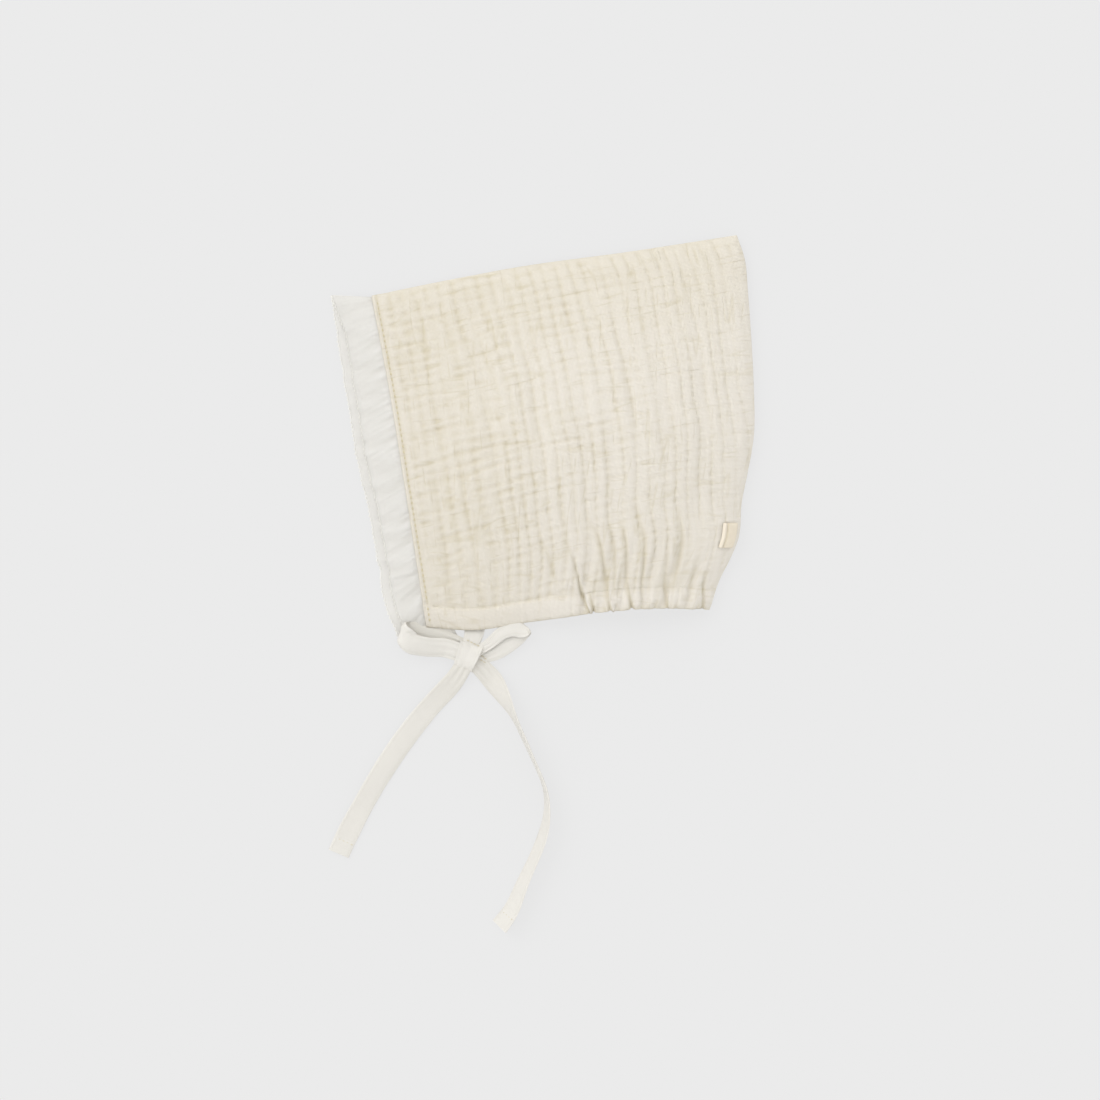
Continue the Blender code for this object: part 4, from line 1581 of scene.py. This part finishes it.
@dataclass
class Tape:
    """A length of the ties' folded tape: a flat rounded section carried along a line.

    The section is as wide as stated and as thick as the wall: its faces are level and run out at the
    edges as the root of 1 less the sixth power. One edge has the furrow of its stitching, and near the
    knot the section is crumpled into ridges, which are a cosine across the tape.
    """

    name: str
    line: Array
    across: Array
    width: Array
    finishes: Finishes
    replaces: tuple[str, ...]
    crumple: Array | float = 0.0
    cup: Array | float = 0.0
    wall: float = 1.0 * MM
    thick: Array | float = 1.0
    seam: float = 1.2 * MM
    furrow: float = 0.13 * MM
    floor: bool = True
    points_across: int = 25
    ridges: int = 3
    bulge: Array | float = 0.0
    # shade: painted shade along the tape, as a share of the folds' colour.
    shade: Array | float = 0.0

    def run(self) -> Array:
        """Length along the tape to each point of its line."""
        return run_along(self.line)

    def piece(self) -> Piece:
        """The tape as a closed band.

        Returns:
            The piece, not yet built.
        """
        ahead = unit(np.gradient(self.line, axis=0))
        across = square_to(self.across, ahead)
        lift = np.cross(across, ahead)
        x = -np.cos(np.linspace(0, math.pi, self.points_across))
        face = np.sqrt(np.clip(1 - x**6, 0, None))
        x_ring = np.concatenate((x, x[-2:0:-1]))
        side = np.concatenate((face, -face[-2:0:-1]))
        rows = len(self.line)
        half = self.width[:, None] / 2
        wide = half * x_ring
        seam = self.furrow * bump(np.abs(wide), half - self.seam, 0.3 * MM)
        thick = self.wall * np.broadcast_to(self.thick, (rows,))[:, None] / 2
        high = thick * side - seam * np.sign(side) * (x_ring < 0)
        ridges = np.cos(self.ridges * math.pi * x_ring + 0.6)
        ridges = np.broadcast_to(self.crumple, (rows,))[:, None] * ridges
        cupped = np.broadcast_to(self.cup, (rows,))[:, None] * (x_ring**2 - 0.35)
        points = self.line[:, None] + across[:, None] * wide[..., None]
        points = points + lift[:, None] * (high + ridges + cupped)[..., None]
        points = points + np.broadcast_to(self.bulge, self.line.shape)[:, None] * (x_ring**4)[:, None]
        if self.floor:
            points[..., 2] = np.maximum(points[..., 2], ON_TABLE * (1 - side))
        index = numbered(wide)
        closed = np.concatenate((index, index[:, :1]), axis=1)
        cloth = np.stack((wide + 0.02, np.broadcast_to(self.run()[:, None], wide.shape)), axis=-1)
        shade = np.broadcast_to(self.shade, (rows,))[:, None]
        # Painted shade: the folds' colour in the seam's furrow, between the crumpled ridges and wherever the
        # shade share is set.
        fold = np.clip(0.3 * seam / self.furrow - ridges / (1.4 * MM) + shade, 0, 1) * 0.8
        faces = grid_faces(closed) + [index[0].tolist(), index[-1, ::-1].tolist()]
        return Piece(
            self.name,
            points,
            faces,
            cloth,
            fold,
            self.finishes.tape,
            "tape",
            replaces=self.replaces,
            sharp=55,
        )


@dataclass
class Bow:
    """The ties: two short stretches from the casing, the knot, its two loops and the two free ends."""

    form: HoodForm
    finishes: Finishes
    tape_width: float = 10 * MM
    tape_cloth: float = 1.1 * MM
    knot_aside: float = 19 * MM
    knot_below: float = 14 * MM
    knot_width: float = 11 * MM
    knot_length: float = 13 * MM
    knot_height: float = 7 * MM
    loop_height: float = 5 * MM
    hem: float = 7 * MM
    tail_in_knot: float = 2.2 * MM
    loop_in_knot: float = 2.5 * MM
    stretch_in_knot: float = 2 * MM
    pinched_length: float = 17 * MM
    pinched_rise: float = 3.2 * MM
    pinched_ridges: float = 0.26 * MM
    knot_heading: float = 74.0
    left_tail: tuple[Turn, ...] = tabled(
        Turn, (0, -114, 0), (0.12, -132, 14), (0.3, -129, 13), (0.5, -124, 11), (0.7, -120, 13),
        (0.85, -117.5, 8), (1, -113, 0),
    )
    right_tail: tuple[Turn, ...] = tabled(
        Turn, (0, -40, 4), (0.08, -50, -10), (0.15, -59, -42), (0.22, -64, -70), (0.35, -66, -80),
        (0.46, -68.5, -82), (0.56, -90, -76), (0.66, -107, -64), (0.78, -115, -60), (0.9, -113, -50),
        (0.96, -126, -42), (1, -129, -36),
    )
    left_loop: tuple[Bend, ...] = tabled(
        Bend, (0, -0.34, 0.72, 0.75), (0.2, -0.35, 0.72, 0.92), (0.45, -0.37, 0.7, 0.95),
        (0.75, -0.34, 0.72, 0.95), (0.94, -0.22, 0.8, 1), (1, -0.08, 1.1, 1.05),
        (0.95, 0.12, 1.45, 1, 3), (0.8, 0.26, 1.5, 0.98, 10), (0.5, 0.2, 1.2, 0.95, 18),
        (0.2, -0.02, 0.95, 0.9, 12), (0, -0.05, 0.85, 0.85),
    )
    right_loop: tuple[Bend, ...] = tabled(
        Bend, (0, -0.3, 0.6, 0.7), (0.2, -0.43, 0.66, 0.9), (0.45, -0.45, 0.66, 0.98),
        (0.75, -0.37, 0.66, 1.03), (0.95, -0.22, 0.7, 1.08), (1, -0.18, 0.82, 1.07, 2),
        (0.95, -0.15, 0.94, 0.98, 3), (0.77, 0, 0.97, 0.74, 6), (0.52, 0.05, 0.96, 0.6, 8),
        (0.24, -0.05, 0.93, 0.52, 7), (0, -0.06, 0.9, 0.46),
    )

    def place(self) -> Array:
        """Middle of the knot on the table."""
        return self.form.corner() + np.array((self.knot_aside, -self.knot_below))

    def knot_radius(self, heading: float, height: float) -> float:
        """Radius of the CAD's knot towards a heading at a height: an oval with steep sides.

        Args:
            heading: in radians, as seen from above.
            height: above the table.

        Returns:
            The radius in metres.
        """
        middle = self.knot_height / 2
        share = min(abs(height - middle) / middle, 1)
        across, along = math.cos(heading) / self.knot_width, math.sin(heading) / self.knot_length
        return (1 - share**4) ** 0.25 / (2 * math.hypot(across, along))

    def tail(self, name: str, node: str, length: float, lie: tuple[Turn, ...]) -> Tape:
        """A free tie end: headings added up along its length, low edge on the table.

        Args:
            name: the piece's name.
            node: the CAD's node that it replaces.
            length: from the knot to the free end, in metres.
            lie: its course.

        Returns:
            The free end's tape.
        """
        steps = 150
        inside = self.tail_in_knot
        share = np.linspace(0, 1, steps + 1)
        heading = np.radians(smooth(lie, share, "heading"))
        roll = np.radians(smooth(lie, share, "roll"))
        start = self.knot_radius(heading[0], self.tape_cloth) + self.form.gap - inside
        ways = np.stack((np.cos(heading), np.sin(heading)), axis=-1)
        middles = (ways[1:] + ways[:-1]) / 2 * (length + inside) / steps
        course = np.concatenate((np.zeros((1, 2)), np.cumsum(middles, axis=0)))
        flat = self.place() + start * ways[0] + course
        pinched = 1 - ramp(share * length, 0, self.pinched_length)
        width = self.tape_width * (1 - 0.16 * pinched)
        width = width + 0.25 * MM * noise(share * 9, 0 * share, 61)
        low = width / 2 * np.abs(np.sin(roll)) + 0.45 * MM * np.cos(roll)
        low = low + 0.35 * MM * np.abs(noise(share * 7, 0 * share, 62)) * np.cos(roll)
        low = low + self.pinched_rise * pinched
        line = np.concatenate((flat, low[:, None]), axis=-1)
        ahead = unit(np.gradient(line, axis=0))
        level = unit(np.cross(ahead, UP))
        across = level * np.cos(roll)[:, None] + np.cross(level, ahead) * np.sin(roll)[:, None]
        hemmed = 1 + 0.45 * ramp(share * length, length - self.hem - 0.4 * MM, length - self.hem)
        crumple = self.pinched_ridges * pinched
        cup = 0.3 * MM * np.sin(9 * share) * np.cos(roll) * (1 - ramp(share, 0.85, 1))
        # Painted shade near the knot, full for 6 mm and gone by 30 mm.
        shade = 0.25 * (1 - ramp(share * length, 6 * MM, 30 * MM))
        return Tape(
            name,
            line,
            across,
            width,
            self.finishes,
            (node,),
            crumple,
            cup,
            thick=hemmed,
            shade=shade,
        )

    def loop(
        self,
        name: str,
        node: str,
        length: float,
        heading: float,
        lie: tuple[Bend, ...],
        slant: float,
        hollow: float,
        shade: float,
        rounding: float,
    ) -> Tape:
        """A bow loop: out from the knot, over at its tip and back above itself.

        Args:
            name: the piece's name.
            node: the CAD's node that it replaces.
            length: from the knot's middle to the tip, in metres.
            heading: the way that it points, in degrees.
            lie: its course.
            slant: how far the tip's line is turned from square across, in degrees.
            hollow: how far the tape's edges curl up on top and down below.
            shade: how much painted shade, in the folds' colour, the lower layer takes.
            rounding: how far the tip's corners draw back.

        Returns:
            The loop's tape.
        """
        at = np.linspace(0, 1, len(lie))
        table = {
            key: tuple(Station(a, getattr(row, key)) for a, row in zip(at, lie)) for key in Bend._fields
        }
        share = np.linspace(0, 1, 180)
        ahead, aside, up, width, roll = (smooth(table[key], share) for key in Bend._fields)
        way = math.radians(heading)
        inside = self.loop_in_knot
        root = self.knot_radius(way, self.knot_height / 2) + self.form.gap
        ahead = root + (length - root) * ahead - inside * np.clip(1 - ahead / 0.15, 0, 1)
        x = ahead * math.cos(way) - self.tape_width * aside * math.sin(way)
        y = ahead * math.sin(way) + self.tape_width * aside * math.cos(way)
        place = self.place()
        line = np.stack((place[0] + x, place[1] + y, self.loop_height * up), axis=-1)
        axis = np.array((math.cos(way), math.sin(way), 0.0))
        side = np.array((axis[1], -axis[0], 0.0)) + math.tan(math.radians(slant)) * axis
        towards = unit(np.gradient(line, axis=0))
        level = square_to(side, towards)
        lift = facing(np.cross(level, towards), Layer.UPPER)
        roll = np.radians(roll)[:, None]
        pinched = np.maximum(np.clip(1 - share / 0.25, 0, 1), np.clip(1 - (1 - share) / 0.25, 0, 1))
        across = level * np.cos(roll) + lift * np.sin(roll)
        cup = -hollow * np.sin(2 * math.pi * share)
        tip = ramp(ahead, 0.6 * length, length)
        bulge = -rounding * tip[:, None] * axis
        return Tape(
            name,
            line,
            across,
            self.tape_width * width,
            self.finishes,
            (node,),
            self.pinched_ridges * pinched**1.5,
            cup,
            wall=0.7 * MM,
            floor=False,
            bulge=bulge,
            # Painted shade on the lower layer, the inside of the loop.
            shade=shade * (1 - ramp(share, 0.42, 0.52)),
        )

    def stretch(self, name: str, node: str, u: float, layer: Layer, heading: float, high: float) -> Tape:
        """A tie's first stretch: a cubic curve square off the casing and square into the knot.

        Args:
            name: the piece's name.
            node: the CAD's node that it replaces.
            u: where it leaves the casing, as a share of the neck edge.
            layer: the layer that it leaves.
            heading: the way that it lies from the knot, in degrees.
            high: how high it enters the knot.

        Returns:
            The stretch's tape.
        """
        share = np.array((u - 0.01, u, u + 0.01))
        neck_edge = self.form.surface(share, np.ones(3), layer)
        along = neck_edge[2, :2] - neck_edge[0, :2]
        off = np.array((along[1], -along[0], 0)) / np.linalg.norm(along)
        start = neck_edge[1] - 1.5 * MM * off
        start[2] += -1.3 * MM if layer is Layer.UPPER else 2.2 * MM
        way = math.radians(heading)
        towards = np.array((math.cos(way), math.sin(way), 0))
        middle = np.append(self.place(), high)
        root = self.knot_radius(way, self.tape_cloth) + self.form.gap
        end = middle + towards * (root - self.stretch_in_knot)
        bow = np.linalg.norm(start - end) / 3
        t = np.linspace(0, 1, 60)[:, None]
        line = start * (1 - t) ** 3 + 3 * (start + off * bow) * t * (1 - t) ** 2
        line = line + 3 * (end + towards * bow) * t * t * (1 - t) + end * t**3
        line[:, 2] = np.maximum(line[:, 2], 0.55 * MM)
        width = self.tape_width * (0.95 - 0.25 * t[:, 0] ** 1.5)
        across = np.cross(unit(np.gradient(line, axis=0)), UP)
        crumple = 0.15 * MM * t[:, 0] ** 3
        return Tape(name, line, across, width, self.finishes, (node,), crumple, wall=0.7 * MM)

    def knot(self) -> Tape:
        """The knot's wrap: the tape carried once round the loops' roots, on an upright oval.

        Returns:
            The wrap's tape.
        """
        turn = np.linspace(-0.48 * math.pi, 1.48 * math.pi, 97)
        heading = math.radians(self.knot_heading)
        way = np.array((math.cos(heading), math.sin(heading), 0.0))
        half, tall = self.knot_length / 2 - 0.7 * MM, self.knot_height / 2 - 1.05 * MM
        cos, sin = np.cos(turn), np.sin(turn)
        along = half * np.sign(cos) * np.abs(cos) ** 0.8
        high = 0.44 * self.knot_height + 0.85 * tall * np.sign(sin) * np.abs(sin) ** 0.8
        drift = 0.8 * MM * sin * cos
        side = np.array((way[1], -way[0], 0.0))
        centre = np.append(self.place(), 0.0)
        line = centre + along[:, None] * way + high[:, None] * UP + drift[:, None] * side
        width = (9.6 + 1.2 * cos + 0.6 * np.maximum(sin, 0)) * MM
        tilt = np.radians(8 * np.maximum(sin, 0))[:, None]
        crumple = (0.1 + 0.06 * np.sin(3 * turn)) * MM
        return Tape(
            "knot_wrap",
            line,
            side * np.cos(tilt) + UP * np.sin(tilt),
            width,
            self.finishes,
            ("bow_knot",),
            crumple,
            -0.7 * MM,
            wall=0.9 * MM,
            floor=False,
        )

    def edge_threads(self) -> list[Piece]:
        """The tape's edge stitching where it shows at the knot: three short threads, by their ends.

        Returns:
            The threads' pieces, not yet built.
        """
        middle = np.append(self.place(), 0.0)
        thread = self.finishes.seam_thread
        rows = (
            ("top_edge_thread", (-0.5, 7.4, 4.7), (6, 4.2, 5)),
            ("upper_side_edge_thread", (6.2, 0.4, 4.45), (9, -1.8, 4.35)),
            ("lower_side_edge_thread", (5.6, -1.5, 4.6), (8.8, -3.5, 4.2)),
        )
        t = np.linspace(0, 1, 60)[:, None]
        threads = []
        for name, start, end in rows:
            line = middle + MM * (np.array(start) * (1 - t) + np.array(end) * t)
            lift = np.broadcast_to(UP, line.shape)
            row = StitchRow(name, line, lift, 1.7 * MM, thread, radius=0.17 * MM, proud=0.0)
            threads.append(row.piece("tape"))
        return threads

    def hem_stitching(self, name: str, tape: Tape) -> Piece:
        """The row of stitches across a free end, a hem's depth from it.

        Args:
            name: the piece's name.
            tape: the free end that is hemmed.

        Returns:
            The piece, not yet built.
        """
        run = tape.run()[1:]
        i = int(np.searchsorted(run, run[-1] - self.hem + 0.8 * MM))
        ahead = unit(np.gradient(tape.line, axis=0))[i]
        across = square_to(tape.across[i], ahead)
        lift = facing(np.cross(across, ahead), Layer.UPPER)
        t = np.linspace(-0.46, 0.46, 80)[:, None]
        line = tape.line[i] + across * t * tape.width[i] + lift * 0.58 * MM
        lift = np.broadcast_to(lift, line.shape)
        row = StitchRow(name, line, lift, 2 * MM, self.finishes.seam_thread, radius=0.18 * MM)
        return row.piece("tape")


@dataclass
class Studio:
    """The table, the soft light from the upper left and the camera straight above."""

    picture: float = 506 * MM
    aim: tuple[float, float] = (3.7 * MM, 15.2 * MM)
    height: float = 1.7
    key: float = 0.8
    light_from: tuple[float, float, float] = (-1.0, 0.9, 1.1)
    sky: float = 1.07
    spread: float = 38.0
    sensor: float = 36.0
    table_half: float = 2.5
    table_below: float = 0.05 * MM
    sheet: OpalSheet = OpalSheet("opal acrylic sheet lit from below", "#5a5a5a", 0.701)

    def table(self) -> None:
        """A sheet much wider than the picture, just under the cloth."""
        half, low = self.table_half, -self.table_below
        corners = ((-half, -half, low), (half, -half, low), (half, half, low), (-half, half, low))
        mesh = bpy.data.meshes.new("opal_table")
        mesh.from_pydata(corners, [], [(0, 1, 2, 3)])
        mesh.materials.append(self.sheet.material())
        thing = placed("opal_table", mesh)

    def light(self) -> None:
        """A broad soft light from the upper left, and an even sky for the rest."""
        lamp = bpy.data.lights.new("key_soft_light", "SUN")
        lamp.energy = self.key
        lamp.angle = math.radians(self.spread)
        x, y, z = self.light_from
        tilt, heading = math.atan2(math.hypot(x, y), z), math.atan2(y, x) + math.pi / 2
        placed("key_soft_light", lamp).rotation_euler = (tilt, 0, heading)
        world = bpy.data.worlds.new("studio_sky")
        world.use_nodes = True
        sky = world.node_tree.nodes["Background"]
        sky.inputs["Color"].default_value = (1, 1, 1, 1)
        sky.inputs["Strength"].default_value = self.sky
        bpy.context.scene.world = world

    def camera(self) -> None:
        """A long lens straight above, with the picture's width on the table."""
        lens = bpy.data.cameras.new("camera")
        lens.sensor_width = self.sensor
        lens.lens = self.sensor * self.height / self.picture
        thing = placed("camera", lens)
        thing.location = (*self.aim, self.height)
        bpy.context.scene.camera = thing
        bpy.context.scene.view_settings.view_transform = "Standard"


def main() -> None:
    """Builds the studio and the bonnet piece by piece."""
    logging.basicConfig(level=logging.INFO, format="%(name)s: %(message)s")
    studio = Studio()
    studio.camera()
    studio.table()
    studio.light()
    finishes = Finishes()
    form = HoodForm()
    hood = Hood(form, finishes)
    gauze = hood.gauze().build()
    hood.topstitching().build()
    casing = NeckCasing(form, hood, finishes)
    band = casing.band().build()
    casing.seam_stitching().build()
    casing.face_stitching().build()
    frill = Frill(form, finishes)
    lawn = frill.cloth_piece().build()
    frill.picot().build()
    label = Label(form, finishes)
    label.ribbon().build()
    label.stitching().build()
    bow = Bow(form, finishes)
    left = bow.tail("left_tail", "tie_tail_left", 103 * MM, bow.left_tail)
    right = bow.tail("right_tail", "tie_tail_right", 134 * MM, bow.right_tail)
    for tape, held in (
        (bow.stretch("near_tie_stretch", "near_tie", 0.06, Layer.UPPER, 143, 1.1 * MM), "laid"),
        (bow.stretch("far_tie_stretch", "far_tie", 0.17, Layer.LOWER, 74, 4 * MM), "laid"),
        (bow.knot(), "folded"),
        (
            bow.loop(
                "left_loop",
                "bow_loop_left",
                length=32.3 * MM,
                heading=162,
                lie=bow.left_loop,
                slant=0,
                hollow=0.8 * MM,
                shade=0.45,
                rounding=2.6 * MM,
            ),
            "folded",
        ),
        (
            bow.loop(
                "right_loop",
                "bow_loop_right",
                length=29.5 * MM,
                heading=32,
                lie=bow.right_loop,
                slant=16,
                hollow=0.4 * MM,
                shade=0,
                rounding=1.2 * MM,
            ),
            "folded",
        ),
        (left, "laid"),
        (right, "laid"),
    ):
        tape.piece().build()
        float(tape.run()[-1])
    for thread in bow.edge_threads():
        thread.build()
    bow.hem_stitching("left_hem_stitching", left).build()
    bow.hem_stitching("right_hem_stitching", right).build()


if __name__ == "__main__":
    main()
